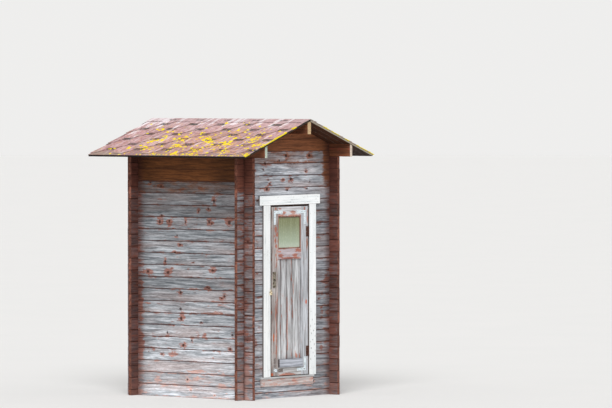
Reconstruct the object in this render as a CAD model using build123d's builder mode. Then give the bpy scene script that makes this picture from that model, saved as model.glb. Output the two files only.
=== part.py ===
from build123d import *

import os
from math import ceil, cos, floor, radians, sin, sqrt, tan

os.makedirs("parts", exist_ok=True)

# Small log shed with crossed corners, a shingled gable roof and a narrow glazed door. Millimetres.
# X runs along the door front, Y from front to back, and the ground is at zero.

# Log walls
wall_width = 1465  # over the outer faces of the side walls
wall_depth = 1565  # over the outer faces of the gable walls
log_height = 130
log_thickness = 40
log_end = 115  # how far the logs run on past a crossing
courses_over_door = 3.5  # from the doorway up to the wall plates
groove_depth = 5  # of the V joint between two logs
notch_fit = 0.3

# Roof
roof_pitch = 20
eave_reach = 335
front_reach = 305
back_reach = 385
plate_edge = 123  # height of a plate at its outer face
plate_setback = 14  # behind the roof's end
beam_setback = 10
beam_width = 56
beam_height = 139
deck_thickness = 18
shingle_courses = 8
top_course_share = 0.42  # the top course is cut short at the ridge
shingle_butt = 7
shingle_head = 3
shingle_lap = 8  # past the deck's edge
cap_width = 110
cap_thickness = 4
cap_fit = 0.2

# Floor
floor_thickness = 22
floor_step = 12  # above the logs under the threshold
floor_fit = 0.3
sleeper_width = 60
sleeper_fit = 0.3

# Doorway
door_centre = 10
leaf_width = 620
leaf_height = 1826
leaf_thickness = 40
leaf_proud = 10  # outer face in front of the wall's face
latch_gap = 5
hinge_gap = 8
head_gap = 5
foot_gap = 8
stop_gap = 5
jamb_thickness = 35
jamb_depth = 65
stop_width = 15
frame_fit = 1
opening_base_courses = 1.5
threshold_height = 37
nosing_depth = 30
nosing_thickness = 18
nosing_left = 485
nosing_right = 400
sill_board_thickness = 22
sill_board_height = 83
sill_board_inset = 10

# Door casing
casing_thickness = 20
casing_width = 115
latch_reveal = 17
head_casing_width = 1010
head_casing_height = 103
head_casing_centre = 5
head_casing_rise = 17  # lower edge above the leaf's gap
head_casing_tilt = 0.4
casing_fit = 0.3

# Door leaf
stile_width = 117
top_rail_height = 101
glass_height = 354
mid_rail_height = 114
bottom_rail_height = 105
panel_setback = 14
panel_thickness = 14
panel_boards = 4
first_board = 59
board_cover = 94
panel_groove = 4
tongue = 8
tongue_fit = 0.3
glass_thickness = 4
glass_fit = 0.3
bead_width = 12
bead_thickness = 10
bead_setback = 4
kick_board_height = 90
kick_board_thickness = 20
kick_board_lap = 15  # down over the bottom rail
kick_board_side = 3

# Ironwork
iron_leg = 150
iron_width = 32
iron_thickness = 2.5
iron_inset = 42
hinge_length = 112
upper_hinge_drop = 275  # from the leaf's top to the hinge's middle
lower_hinge_rise = 252
hinge_plate_width = 30
hinge_plate_thickness = 2.5
hinge_plate_depth = 36
barrel_radius = 6.5
barrel_gap = 0.5
pin_radius = 3
pin_fit = 0.1
lock_plate_width = 56
lock_plate_height = 175
lock_plate_thickness = 3
lock_plate_rise = 1038  # from the leaf's foot to the plate's middle
lock_plate_inset = 22
keyhole_radius = 5
keyhole_drop = 10
latch_hole_radius = 8
latch_hole_rise = 48
padlock_width = 32
padlock_height = 34
padlock_thickness = 14
padlock_rise = 895  # from the leaf's foot to the padlock's middle
padlock_side = 9  # from the leaf's edge
padlock_stand = 2  # off the casing
shackle_wire = 5
shackle_spread = 18
shackle_rise = 22
staple_wire = 4
staple_spread = 14
staple_reach = 16
staple_seat = 0.3

# Places worked out from the sizes above
half_width = wall_width / 2
half_depth = wall_depth / 2
front = -half_depth
pitch = radians(roof_pitch)
slope = tan(pitch)
log_quarter = log_height / 4
side_line = half_width - log_thickness / 2
gable_line = half_depth - log_thickness / 2
end_x = half_width + log_end
end_y = half_depth + log_end
opening_base = opening_base_courses * log_height
threshold_top = opening_base + threshold_height
leaf_left = door_centre - leaf_width / 2
leaf_right = door_centre + leaf_width / 2
leaf_low = threshold_top + foot_gap
leaf_high = leaf_low + leaf_height
leaf_face = front - leaf_proud
leaf_back = leaf_face + leaf_thickness
jamb_left = leaf_left - latch_gap
jamb_right = leaf_right + hinge_gap
jamb_head_low = leaf_high + head_gap
opening_room = jamb_head_low + jamb_thickness + frame_fit - opening_base
opening_top = opening_base + ceil(opening_room / log_height) * log_height  # whole logs are cut
plate_base = opening_top + courses_over_door * log_height
side_courses = round(plate_base / log_height)
opening_left = jamb_left - jamb_thickness - frame_fit
opening_right = jamb_right + jamb_thickness + frame_fit


# Height of the roof's underside
def underside(x):
    return plate_base + plate_edge + (half_width - abs(x)) * slope


ridge = underside(0)


def save(piece, name):
    piece.part.label = name
    export_step(piece.part, f"parts/{name}.step")


def block(x_low, x_high, y_low, y_high, z_low, z_high):
    with BuildPart() as piece:
        with BuildSketch(Plane.XY.offset(z_low)):
            with Locations(((x_low + x_high) / 2, (y_low + y_high) / 2)):
                Rectangle(x_high - x_low, y_high - y_low)
        extrude(amount=z_high - z_low)
    return piece


# Stack of logs in section: a strip with a V joint on both faces wherever two logs meet
def log_section(centre, low, high, joints):
    with Locations((centre, (low + high) / 2)):
        Rectangle(log_thickness, high - low)
    marks = [(centre + side * log_thickness / 2, z) for z in joints for side in (-1, 1)]
    with Locations(*marks):
        Rectangle(groove_depth * sqrt(2), groove_depth * sqrt(2), rotation=45, mode=Mode.SUBTRACT)


# Half-lapped crossings: side logs break joint with gable logs by half a course, and each log keeps
# the middle half of its height where it passes through the other wall
def cut_crossings(places, levels):
    cut = log_thickness + 2 * notch_fit
    with Locations(*[(x, y, level) for x, y in places for level in levels]):
        Box(cut, cut, 2 * log_quarter + notch_fit, mode=Mode.SUBTRACT)


def side_wall(side):
    joints = [n * log_height for n in range(1, side_courses + 1)]
    places = [(side * side_line, end * gable_line) for end in (-1, 1)]
    with BuildPart() as wall:
        with BuildSketch(Plane.XZ):
            log_section(side * side_line, 0, plate_base, joints)
        extrude(amount=end_y, both=True)
        cut_crossings(places, [0] + joints)
    return wall


# Top log of a side wall, bevelled to the roof and notched over the gable logs
def wall_plate(side):
    inner = half_width - log_thickness
    places = [(side * side_line, end * gable_line) for end in (-1, 1)]
    with BuildPart() as plate:
        with BuildSketch(Plane.XZ.offset(half_depth + front_reach - plate_setback)):
            with BuildLine():
                Polyline(
                    (side * half_width, plate_base),
                    (side * half_width, underside(half_width)),
                    (side * inner, underside(inner)),
                    (side * inner, plate_base),
                    close=True,
                )
            make_face()
        extrude(amount=-(wall_depth + front_reach + back_reach - 2 * plate_setback))
        cut_crossings(places, [plate_base])
    return plate


def gable_joints(low, high):
    first = max(0, ceil(low / log_height - 0.5))
    last = floor(high / log_height - 0.5)
    return [(n + 0.5) * log_height for n in range(first, last + 1)]


# Gable end in elevation, under both slopes
def gable_outline(low):
    with BuildSketch(Plane.XZ) as outline:
        with BuildLine():
            Polyline(
                (-end_x, low),
                (end_x, low),
                (end_x, underside(end_x)),
                (0, ridge),
                (-end_x, underside(end_x)),
                close=True,
            )
        make_face()
    return outline.sketch


# Slots in a gable for the ridge beam and the plates, open at the roof
def gable_slots():
    with BuildSketch(Plane.XZ) as slots:
        with Locations((0, ridge)):
            Rectangle(beam_width + 2 * notch_fit, 2 * (beam_height + notch_fit))
        with Locations(*[(side * side_line, plate_base + log_quarter - notch_fit / 2) for side in (-1, 1)]):
            Rectangle(log_thickness + 2 * notch_fit, log_height, align=(Align.CENTER, Align.MIN))
    return slots.sketch


def gable_logs(end, x_low, x_high, low, high):
    line = end * gable_line
    with BuildPart() as wall:
        with BuildSketch(Plane.YZ.offset(x_low)):
            log_section(line, low, high, gable_joints(low, high))
        extrude(amount=x_high - x_low)
        if high > plate_base:
            extrude(gable_outline(low), amount=end_y, both=True, mode=Mode.INTERSECT)
            extrude(gable_slots(), amount=end_y, both=True, mode=Mode.SUBTRACT)
        places = [(x, line) for x in (-side_line, side_line) if x_low < x < x_high]
        levels = [(n + 0.5) * log_height for n in range(side_courses)]
        cut_crossings(places, [z for z in levels if low - log_height < z < high + log_height])
    return wall


save(side_wall(-1), "left_wall")
save(side_wall(1), "right_wall")
save(gable_logs(1, -end_x, end_x, 0, ridge), "back_wall")
save(gable_logs(-1, -end_x, end_x, 0, opening_base), "front_wall_base")
save(gable_logs(-1, -end_x, opening_left, opening_base, opening_top), "front_wall_left")
save(gable_logs(-1, opening_right, end_x, opening_base, opening_top), "front_wall_right")
save(gable_logs(-1, -end_x, end_x, opening_top, ridge), "front_gable")
save(wall_plate(-1), "left_wall_plate")
save(wall_plate(1), "right_wall_plate")

with BuildPart() as ridge_beam:
    with BuildSketch(Plane.XZ.offset(half_depth + front_reach - beam_setback)):
        with BuildLine():
            Polyline(
                (-beam_width / 2, ridge - beam_height),
                (beam_width / 2, ridge - beam_height),
                (beam_width / 2, underside(beam_width / 2)),
                (0, ridge),
                (-beam_width / 2, underside(beam_width / 2)),
                close=True,
            )
        make_face()
    extrude(amount=-(wall_depth + front_reach + back_reach - 2 * beam_setback))
save(ridge_beam, "ridge_beam")

# Roof layers are drawn in section down the slope: the run from the ridge, and the height off the deck's foot
slope_run = (half_width + eave_reach) / cos(pitch)
course_run = slope_run / (shingle_courses - 1 + top_course_share)
top_foot = top_course_share * course_run


def slope_plane(side):
    down = (side * cos(pitch), 0, -sin(pitch))
    return Plane(origin=(0, 0, ridge), x_dir=down, z_dir=(0, -side, 0))


# One layer of a slope; its upper points lie on the upright plane through the ridge
def roof_layer(side, outline, lap):
    forward = half_depth + front_reach + lap
    backward = half_depth + back_reach + lap
    start = forward if side < 0 else backward
    with BuildPart() as layer:
        with BuildSketch(slope_plane(side).offset(-start)):
            with BuildLine():
                Polyline(*outline, close=True)
            make_face()
        extrude(amount=forward + backward)
    return layer


def at_ridge(height):
    return (-height * slope, height)


deck_outline = [
    at_ridge(0),
    (slope_run, 0),
    (slope_run, deck_thickness),
    at_ridge(deck_thickness),
]

head = deck_thickness + shingle_head
butt = deck_thickness + shingle_butt
shingle_outline = [at_ridge(deck_thickness), (slope_run + shingle_lap, deck_thickness)]
for course in range(shingle_courses - 1, -1, -1):
    foot = top_foot + course * course_run
    lap = shingle_lap if course == shingle_courses - 1 else 0
    shingle_outline += [(foot + lap, butt), (foot - course_run, head)]
shingle_outline[-1] = at_ridge(head)

for side, name in ((-1, "left"), (1, "right")):
    save(roof_layer(side, deck_outline, 0), f"{name}_roof_deck")
    save(roof_layer(side, shingle_outline, shingle_lap), f"{name}_shingles")


# Ridge cap folded over the top shingles of both slopes
def cap_point(side, run, height):
    x = run * cos(pitch) + height * sin(pitch)
    return (side * x, ridge - run * sin(pitch) + height * cos(pitch))


first_run, first_height = at_ridge(head)
cap_low = head + (butt - head) * (cap_width - first_run) / (top_foot - first_run) + cap_fit
cap_head = head + cap_fit
with BuildPart() as ridge_cap:
    with BuildSketch(Plane.XZ.offset(half_depth + front_reach + shingle_lap)):
        with BuildLine():
            Polyline(
                (0, ridge + cap_head / cos(pitch)),
                cap_point(1, cap_width, cap_low),
                cap_point(1, cap_width, cap_low + cap_thickness),
                (0, ridge + (cap_head + cap_thickness) / cos(pitch)),
                cap_point(-1, cap_width, cap_low + cap_thickness),
                cap_point(-1, cap_width, cap_low),
                close=True,
            )
        make_face()
    extrude(amount=-(wall_depth + front_reach + back_reach + 2 * shingle_lap))
save(ridge_cap, "ridge_cap")

# Floor on three sleepers
inside_x = half_width - log_thickness - floor_fit
inside_y = half_depth - log_thickness - floor_fit
floor_top = opening_base + floor_step
floor_low = floor_top - floor_thickness
floor_front = front + jamb_depth + floor_fit
save(block(-inside_x, inside_x, floor_front, inside_y, floor_low, floor_top), "floor_boards")
sleeper_x = inside_x - sleeper_width / 2 - sleeper_fit
for place, name in ((-sleeper_x, "left"), (0, "middle"), (sleeper_x, "right")):
    sleeper = block(place - sleeper_width / 2, place + sleeper_width / 2, -inside_y, inside_y, 0, floor_low)
    save(sleeper, f"{name}_sleeper")

# Door frame: threshold with a nosing, rebated jambs and a head
with BuildPart() as threshold:
    with BuildSketch(Plane.XY.offset(opening_base)):
        with Locations(((jamb_left + jamb_right) / 2, front + jamb_depth / 2)):
            Rectangle(jamb_right - jamb_left + 2 * jamb_thickness, jamb_depth)
    extrude(amount=threshold_height)
    with BuildSketch(Plane.XY.offset(threshold_top - nosing_thickness)):
        with Locations(((nosing_right - nosing_left) / 2, front - nosing_depth / 2)):
            Rectangle(nosing_left + nosing_right, nosing_depth)
    extrude(amount=nosing_thickness)
save(threshold, "threshold")

sill_board_top = threshold_top - nosing_thickness
sill_board = block(
    -nosing_left + sill_board_inset, nosing_right - sill_board_inset,
    front - sill_board_thickness, front,
    sill_board_top - sill_board_height, sill_board_top,
)
save(sill_board, "sill_board")

stop_face = leaf_back + stop_gap
jamb_back = front + jamb_depth


def jamb(inner, outward):
    outer = inner + outward * jamb_thickness
    stop = inner - outward * stop_width
    with BuildPart() as post:
        with BuildSketch(Plane.XY.offset(threshold_top)):
            with BuildLine():
                Polyline(
                    (outer, front), (inner, front), (inner, stop_face),
                    (stop, stop_face), (stop, jamb_back), (outer, jamb_back),
                    close=True,
                )
            make_face()
        extrude(amount=jamb_head_low - threshold_top)
    return post


save(jamb(jamb_left, -1), "left_jamb")
save(jamb(jamb_right, 1), "right_jamb")

with BuildPart() as head_jamb:
    with BuildSketch(Plane.XY.offset(jamb_head_low)):
        with Locations(((jamb_left + jamb_right) / 2, front + jamb_depth / 2)):
            Rectangle(jamb_right - jamb_left + 2 * jamb_thickness, jamb_depth)
    extrude(amount=jamb_thickness)
    with BuildSketch(Plane.XY.offset(jamb_head_low - stop_width)):
        with Locations(((jamb_left + jamb_right) / 2, (stop_face + jamb_back) / 2)):
            Rectangle(jamb_right - jamb_left - 2 * stop_width, jamb_back - stop_face)
    extrude(amount=stop_width)
save(head_jamb, "head_jamb")

# Casing boards; the head board sits a little out of level
head_casing_low = jamb_head_low + head_casing_rise


def casing_leg(x_low, x_high, name):
    low_end = min((x - head_casing_centre) * tan(radians(head_casing_tilt)) for x in (x_low, x_high))
    top = head_casing_low + low_end - casing_fit
    save(block(x_low, x_high, front - casing_thickness, front, threshold_top, top), name)


casing_leg(jamb_left - latch_reveal - casing_width, jamb_left - latch_reveal, "left_casing")
casing_leg(jamb_right, jamb_right + casing_width, "right_casing")

with BuildPart() as head_casing:
    with BuildSketch(Plane.XZ.offset(half_depth)):
        with Locations((head_casing_centre, head_casing_low + head_casing_height / 2)):
            Rectangle(head_casing_width, head_casing_height, rotation=head_casing_tilt)
    extrude(amount=casing_thickness)
save(head_casing, "head_casing")

# Door leaf: stiles and rails, grooved for the board panel
inner_left = leaf_left + stile_width
inner_right = leaf_right - stile_width
glass_high = leaf_high - top_rail_height
glass_low = glass_high - glass_height
panel_high = glass_low - mid_rail_height
panel_low = leaf_low + bottom_rail_height
panel_face = leaf_face + panel_setback
panel_middle = (
    (inner_left + inner_right) / 2,
    panel_face + panel_thickness / 2,
    (panel_low + panel_high) / 2,
)
panel_room = (
    inner_right - inner_left + 2 * (tongue + tongue_fit),
    panel_thickness + 2 * tongue_fit,
    panel_high - panel_low + 2 * (tongue + tongue_fit),
)


def leaf_member(x_low, x_high, z_low, z_high, name):
    with BuildPart() as member:
        with BuildSketch(Plane.XY.offset(z_low)):
            with Locations(((x_low + x_high) / 2, (leaf_face + leaf_back) / 2)):
                Rectangle(x_high - x_low, leaf_thickness)
        extrude(amount=z_high - z_low)
        if z_low <= panel_high:
            with Locations(panel_middle):
                Box(*panel_room, mode=Mode.SUBTRACT)
    save(member, name)


leaf_member(leaf_left, inner_left, leaf_low, leaf_high, "left_stile")
leaf_member(inner_right, leaf_right, leaf_low, leaf_high, "right_stile")
leaf_member(inner_left, inner_right, glass_high, leaf_high, "top_rail")
leaf_member(inner_left, inner_right, panel_high, glass_low, "mid_rail")
leaf_member(inner_left, inner_right, leaf_low, panel_low, "bottom_rail")

with BuildPart() as door_panel:
    with BuildSketch(Plane.XY.offset(panel_low - tongue)):
        with Locations(panel_middle[:2]):
            Rectangle(inner_right - inner_left + 2 * tongue, panel_thickness)
        seams = [inner_left + first_board + n * board_cover for n in range(panel_boards - 1)]
        with Locations(*[(x, panel_face) for x in seams]):
            Rectangle(panel_groove * sqrt(2), panel_groove * sqrt(2), rotation=45, mode=Mode.SUBTRACT)
    extrude(amount=panel_high - panel_low + 2 * tongue)
save(door_panel, "door_panel")

# Glass between two glazing beads
glass_face = leaf_face + bead_setback + bead_thickness
save(
    block(
        inner_left + glass_fit, inner_right - glass_fit,
        glass_face, glass_face + glass_thickness,
        glass_low + glass_fit, glass_high - glass_fit,
    ),
    "door_glass",
)


def glazing_bead(face, name):
    with BuildPart() as bead:
        with BuildSketch(Plane.XZ.offset(-face)):
            with Locations(((inner_left + inner_right) / 2, (glass_low + glass_high) / 2)):
                width = inner_right - inner_left
                Rectangle(width, glass_height)
                Rectangle(width - 2 * bead_width, glass_height - 2 * bead_width, mode=Mode.SUBTRACT)
        extrude(amount=-bead_thickness)
    save(bead, name)


glazing_bead(leaf_face + bead_setback, "front_bead")
glazing_bead(glass_face + glass_thickness, "back_bead")

kick_low = panel_low - kick_board_lap
kick_board = block(
    inner_left - kick_board_side, inner_right + kick_board_side,
    leaf_face - kick_board_thickness, leaf_face,
    kick_low, kick_low + kick_board_height,
)
save(kick_board, "kick_board")

# Flat corner irons, one let on to each corner of the leaf
with BuildPart() as corner_irons:
    with BuildSketch(Plane.XZ.offset(-leaf_face)):
        for x, along in ((leaf_left + iron_inset, 1), (leaf_right - iron_inset, -1)):
            for z, up in ((leaf_low + iron_inset, 1), (leaf_high - iron_inset, -1)):
                with Locations((x + along * iron_leg / 2, z + up * iron_width / 2)):
                    Rectangle(iron_leg, iron_width)
                with Locations((x + along * iron_width / 2, z + up * iron_leg / 2)):
                    Rectangle(iron_width, iron_leg)
    extrude(amount=iron_thickness)
save(corner_irons, "corner_irons")

# Butt hinges with the pin in front of the leaf
pin_x = jamb_right - hinge_plate_thickness - barrel_gap - barrel_radius
pin_y = leaf_face - barrel_radius - barrel_gap
knuckle = (hinge_length - 2 * barrel_gap) / 3


def disc(radius, level):
    with BuildSketch(Plane.XY.offset(level)) as sketch:
        with Locations((pin_x, pin_y)):
            Circle(radius)
    return sketch.sketch


def strip(x_low, x_high, y_low, y_high, level):
    with BuildSketch(Plane.XY.offset(level)) as sketch:
        with Locations(((x_low + x_high) / 2, (y_low + y_high) / 2)):
            Rectangle(x_high - x_low, y_high - y_low)
    return sketch.sketch


def hinge(middle, name):
    low = middle - hinge_length / 2
    leaf_knuckle = low + knuckle + barrel_gap
    plate_face = leaf_face - hinge_plate_thickness
    plate_end = pin_x - barrel_radius - barrel_gap
    plate_start = plate_end - hinge_plate_width
    with BuildPart() as leaf_half:
        extrude(strip(plate_start, plate_end, plate_face, leaf_face, low), amount=hinge_length)
        extrude(strip(plate_end, pin_x, plate_face, leaf_face, leaf_knuckle), amount=knuckle)
        extrude(disc(barrel_radius, leaf_knuckle), amount=knuckle)
        extrude(disc(pin_radius + pin_fit, low), amount=hinge_length, mode=Mode.SUBTRACT)
    save(leaf_half, f"{name}_hinge_leaf")
    plate_x = jamb_right - hinge_plate_thickness
    with BuildPart() as frame_half:
        extrude(strip(plate_x, jamb_right, pin_y, pin_y + hinge_plate_depth, low), amount=hinge_length)
        for level in (low, low + hinge_length - knuckle):
            extrude(strip(pin_x, plate_x, pin_y, pin_y + hinge_plate_thickness, level), amount=knuckle)
            extrude(disc(barrel_radius, level), amount=knuckle)
        extrude(disc(pin_radius, low), amount=hinge_length)
    save(frame_half, f"{name}_hinge_frame")


hinge(leaf_high - upper_hinge_drop, "upper")
hinge(leaf_low + lower_hinge_rise, "lower")

# Lock plate left without its handle: a latch hole over a keyhole
lock_middle = leaf_low + lock_plate_rise
lock_x = leaf_left + lock_plate_inset + lock_plate_width / 2
with BuildPart() as lock_plate:
    with BuildSketch(Plane.XZ.offset(-leaf_face)):
        with Locations((lock_x, lock_middle)):
            RectangleRounded(lock_plate_width, lock_plate_height, lock_plate_width / 8)
        with Locations((lock_x, lock_middle + latch_hole_rise)):
            Circle(latch_hole_radius, mode=Mode.SUBTRACT)
        with Locations((lock_x, lock_middle - keyhole_drop)):
            Circle(keyhole_radius, mode=Mode.SUBTRACT)
        with Locations((lock_x, lock_middle - keyhole_drop)):
            slot_height = 3 * keyhole_radius
            Rectangle(keyhole_radius, slot_height, align=(Align.CENTER, Align.MAX), mode=Mode.SUBTRACT)
    extrude(amount=lock_plate_thickness)
save(lock_plate, "lock_plate")

# Small padlock hung from a staple in the casing
padlock_x = leaf_left - padlock_side - padlock_width / 2
casing_face = front - casing_thickness
padlock_y = casing_face - padlock_stand - padlock_thickness / 2
padlock_middle = leaf_low + padlock_rise
padlock_top = padlock_middle + padlock_height / 2


# U-shaped bar in outline, with its feet about a point and its bend turned from straight up
def bow(plane, foot, turn, spread, straight, wire):
    with BuildSketch(plane) as sketch:
        with Locations(Location((*foot, 0), (0, 0, turn))):
            Rectangle(spread + wire, straight, align=(Align.CENTER, Align.MIN))
            with Locations((0, straight)):
                Circle((spread + wire) / 2)
                Circle((spread - wire) / 2, mode=Mode.SUBTRACT)
            Rectangle(spread - wire, straight, align=(Align.CENTER, Align.MIN), mode=Mode.SUBTRACT)
    return sketch.sketch


shackle_plane = Plane.XZ.offset(-padlock_y - shackle_wire / 2)
shackle_straight = shackle_rise - shackle_spread / 2
with BuildPart() as padlock:
    with BuildSketch(Plane.XY.offset(padlock_middle - padlock_height / 2)):
        with Locations((padlock_x, padlock_y)):
            RectangleRounded(padlock_width, padlock_thickness, padlock_thickness / 4)
    extrude(amount=padlock_height)
    extrude(
        bow(shackle_plane, (padlock_x, padlock_top), 0, shackle_spread, shackle_straight, shackle_wire),
        amount=shackle_wire,
    )
save(padlock, "padlock")

# The crown of the shackle hangs on the lower leg of the staple
crown_radius = (shackle_spread - shackle_wire) / 2
crown_sag = crown_radius - sqrt(crown_radius**2 - (staple_wire / 2) ** 2)
staple_low = padlock_top + shackle_straight + crown_radius - crown_sag - staple_seat - staple_wire / 2
staple_foot = (casing_face, staple_low + staple_spread / 2)
staple_straight = staple_reach - staple_spread / 2
with BuildPart() as staple:
    extrude(
        bow(Plane.YZ.offset(padlock_x), staple_foot, 90, staple_spread, staple_straight, staple_wire),
        amount=staple_wire / 2,
        both=True,
    )
save(staple, "staple")
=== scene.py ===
import math
import random
from functools import partial

import bmesh
import bpy
from mathutils import Matrix, Vector, noise


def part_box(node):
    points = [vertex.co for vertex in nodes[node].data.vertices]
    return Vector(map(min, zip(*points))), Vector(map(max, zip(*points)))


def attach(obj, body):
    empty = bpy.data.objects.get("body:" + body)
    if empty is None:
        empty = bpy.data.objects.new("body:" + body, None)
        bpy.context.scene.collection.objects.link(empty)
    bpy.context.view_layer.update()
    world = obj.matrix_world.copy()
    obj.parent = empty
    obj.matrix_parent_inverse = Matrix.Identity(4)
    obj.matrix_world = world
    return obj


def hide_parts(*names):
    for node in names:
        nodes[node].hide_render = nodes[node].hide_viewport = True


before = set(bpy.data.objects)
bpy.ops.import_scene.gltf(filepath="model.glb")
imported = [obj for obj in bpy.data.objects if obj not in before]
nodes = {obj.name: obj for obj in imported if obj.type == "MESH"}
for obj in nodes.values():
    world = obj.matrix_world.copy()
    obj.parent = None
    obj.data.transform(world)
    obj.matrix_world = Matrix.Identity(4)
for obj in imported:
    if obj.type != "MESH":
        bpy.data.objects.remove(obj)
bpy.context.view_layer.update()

# Small log shed: weathered logs with crossed corners, a felt shingle roof and a narrow glazed door. Metres.
# X runs along the door front, Y from front to back.

shed = dict(
    logHeight=0.130, halfLog=0.02, sideFace=0.7325, gableFace=0.7825, sideEnd=0.8975, gableEnd=0.8475,
    pitch=math.radians(20), ridge=2.9896, roofFront=1.0955, roofBack=1.1755,
)


# Node helpers for materials and geometry; bench["tree"] is the tree being built.

bench = {}


def rgb(red, green, blue):
    # a tone as it looks on the screen, turned into Blender's linear values
    tone = [value / 255 for value in (red, green, blue)]
    return tuple(v / 12.92 if v <= 0.04045 else ((v + 0.055) / 1.055) ** 2.4 for v in tone) + (1.0,)


def palette(look):
    return {key: rgb(*value) for key, value in look.items()}


def addNode(kind, feeds=None, **settings):
    tree = bench["tree"]
    node = tree.nodes.new(kind)
    for key, value in settings.items():
        setattr(node, key, value)
    for key, value in (feeds or {}).items():
        if isinstance(value, bpy.types.NodeSocket):
            tree.links.new(value, node.inputs[key])
        elif value is not None:
            node.inputs[key].default_value = value
    return node


def calc(operation, first, second=None, third=None):
    return addNode("ShaderNodeMath", {0: first, 1: second, 2: third}, operation=operation).outputs[0]


add, sub, mul = partial(calc, "ADD"), partial(calc, "SUBTRACT"), partial(calc, "MULTIPLY")
madd, absOf = partial(calc, "MULTIPLY_ADD"), partial(calc, "ABSOLUTE")
least, most = partial(calc, "MINIMUM"), partial(calc, "MAXIMUM")


def vec(operation, first, second=None, third=None):
    return addNode("ShaderNodeVectorMath", {0: first, 1: second, 2: third}, operation=operation).outputs[0]


def join3(x, y, z):
    return addNode("ShaderNodeCombineXYZ", {0: x, 1: y, 2: z}).outputs[0]


def split3(place):
    return tuple(addNode("ShaderNodeSeparateXYZ", {0: place}).outputs[:3])


def fade(value, low, high, toLow=0.0, toHigh=1.0, smooth=True):
    kind = "SMOOTHSTEP" if smooth else "LINEAR"
    feeds = {0: value, 1: low, 2: high, 3: toLow, 4: toHigh}
    return addNode("ShaderNodeMapRange", feeds, interpolation_type=kind).outputs[0]


def mix(amount, under, over):
    return addNode("ShaderNodeMix", {"Factor": amount, 6: under, 7: over}, data_type="RGBA").outputs[2]


def blend(amount, under, over):
    return addNode("ShaderNodeMix", {"Factor": amount, 2: under, 3: over}).outputs[0]


def dim(tone, amount):
    tone = tone[:3] if isinstance(tone, tuple) else tone
    return addNode("ShaderNodeVectorMath", {0: tone, "Scale": amount}, operation="SCALE").outputs[0]


def grain(place, per, detail=3.0, rough=0.55, slide=None, output="Fac"):
    # a noise with so many repeats to the metre along each axis of place
    spot = vec("MULTIPLY", place, per)
    if slide is not None:
        spot = vec("ADD", spot, slide)
    feeds = {"Vector": spot, "Scale": 1.0, "Detail": detail, "Roughness": rough}
    return addNode("ShaderNodeTexNoise", feeds).outputs[output]


def whiteNoise(value):
    return addNode("ShaderNodeTexWhiteNoise", {"W": value}, noise_dimensions="1D").outputs


def nearestMark(u, v, marks, fray=(0.0, 0.0, 0.0)):
    # 0 in the middle of a mark, 1 at its edge; each mark is (u, v, half width, half height)
    flat = vec("ADD", join3(u, v, 0.0), fray)
    reach = None
    for markU, markV, halfU, halfV in marks:
        moved = vec("MULTIPLY_ADD", flat, (1 / halfU, 1 / halfV, 0.0), (-markU / halfU, -markV / halfV, 0.0))
        gap = addNode("ShaderNodeVectorMath", {0: moved}, operation="LENGTH").outputs["Value"]
        reach = gap if reach is None else least(reach, gap)
    return reach


def frayField(s, t, perMetre, amount):
    # small offsets that make the edge of a mark ragged
    spread = grain(join3(s, t, 0.0), (perMetre * 0.6, perMetre, 0.0), 4.0, 0.65, output="Color")
    return vec("MULTIPLY_ADD", spread, (amount * 1.6, amount, 0.0), (-amount * 0.8, -amount * 0.5, 0.0))


def attribute(name, output="Fac"):
    return addNode("ShaderNodeAttribute", attribute_name=name).outputs[output]


def newFinish(name, rough=0.85, metal=0.0, gloss=0.3):
    finish = bpy.data.materials.new(name)
    finish.use_nodes = True
    bench["tree"] = finish.node_tree
    shader = finish.node_tree.nodes["Principled BSDF"]
    shader.inputs["Roughness"].default_value = rough
    shader.inputs["Metallic"].default_value = metal
    shader.inputs["Specular IOR Level"].default_value = gloss
    return (finish, *split3(addNode("ShaderNodeTexCoord").outputs["Object"]))


def facing():
    return split3(addNode("ShaderNodeNewGeometry").outputs["True Normal"])


def wire(finish, tone, relief, depth, rough=None):
    links, inputs = finish.node_tree.links, finish.node_tree.nodes["Principled BSDF"].inputs
    links.new(tone, inputs["Base Color"])
    bump = addNode("ShaderNodeBump", {"Height": relief, "Distance": depth, "Strength": 1.0})
    links.new(bump.outputs[0], inputs["Normal"])
    if rough is not None:
        links.new(rough, inputs["Roughness"])


# Mesh helpers.

def camel(node):
    first, *rest = node.split("_")
    return first + "".join(word.capitalize() for word in rest)


def coat(mesh, finish):
    mesh.materials.clear()
    mesh.materials.append(finish)


def keep(name, mesh, body, slot, finish, *replaced):
    coat(mesh, finish)
    piece = addObject(name, mesh)
    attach(piece, body)
    if replaced:
        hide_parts(*replaced)


def addObject(name, data):
    made = bpy.data.objects.new(name, data)
    bpy.context.scene.collection.objects.link(made)
    return made


def merged(node):
    bm = bmesh.new()
    bm.from_mesh(nodes[node].data)
    bmesh.ops.remove_doubles(bm, verts=bm.verts, dist=2e-5)
    bmesh.ops.dissolve_limit(bm, angle_limit=math.radians(1), verts=bm.verts, edges=bm.edges)
    return bm


def cutAt(bm, axis, level, sign=1, **extra):
    normal = Vector((0, 0, 0))
    normal[axis] = sign
    return bmesh.ops.bisect_plane(bm, geom=[*bm.verts, *bm.edges, *bm.faces], dist=1e-6, plane_no=normal,
                                  plane_co=normal * (level * sign), **extra)["geom_cut"]


def sliceAlong(bm, axis, step, margin=0.02):
    low = min(v.co[axis] for v in bm.verts) + margin
    high = max(v.co[axis] for v in bm.verts) - margin
    for index in range(math.ceil(low / step), math.floor(high / step) + 1):
        cutAt(bm, axis, index * step)


def toMesh(bm, name):
    mesh = bpy.data.meshes.new(name)
    bmesh.ops.recalc_face_normals(bm, faces=bm.faces)
    bm.to_mesh(mesh)
    bm.free()
    return mesh


def joined(name, *meshes):
    bm = bmesh.new()
    for mesh in meshes:
        bm.from_mesh(mesh)
    whole = bpy.data.meshes.new(name)
    bm.to_mesh(whole)
    bm.free()
    return whole


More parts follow.
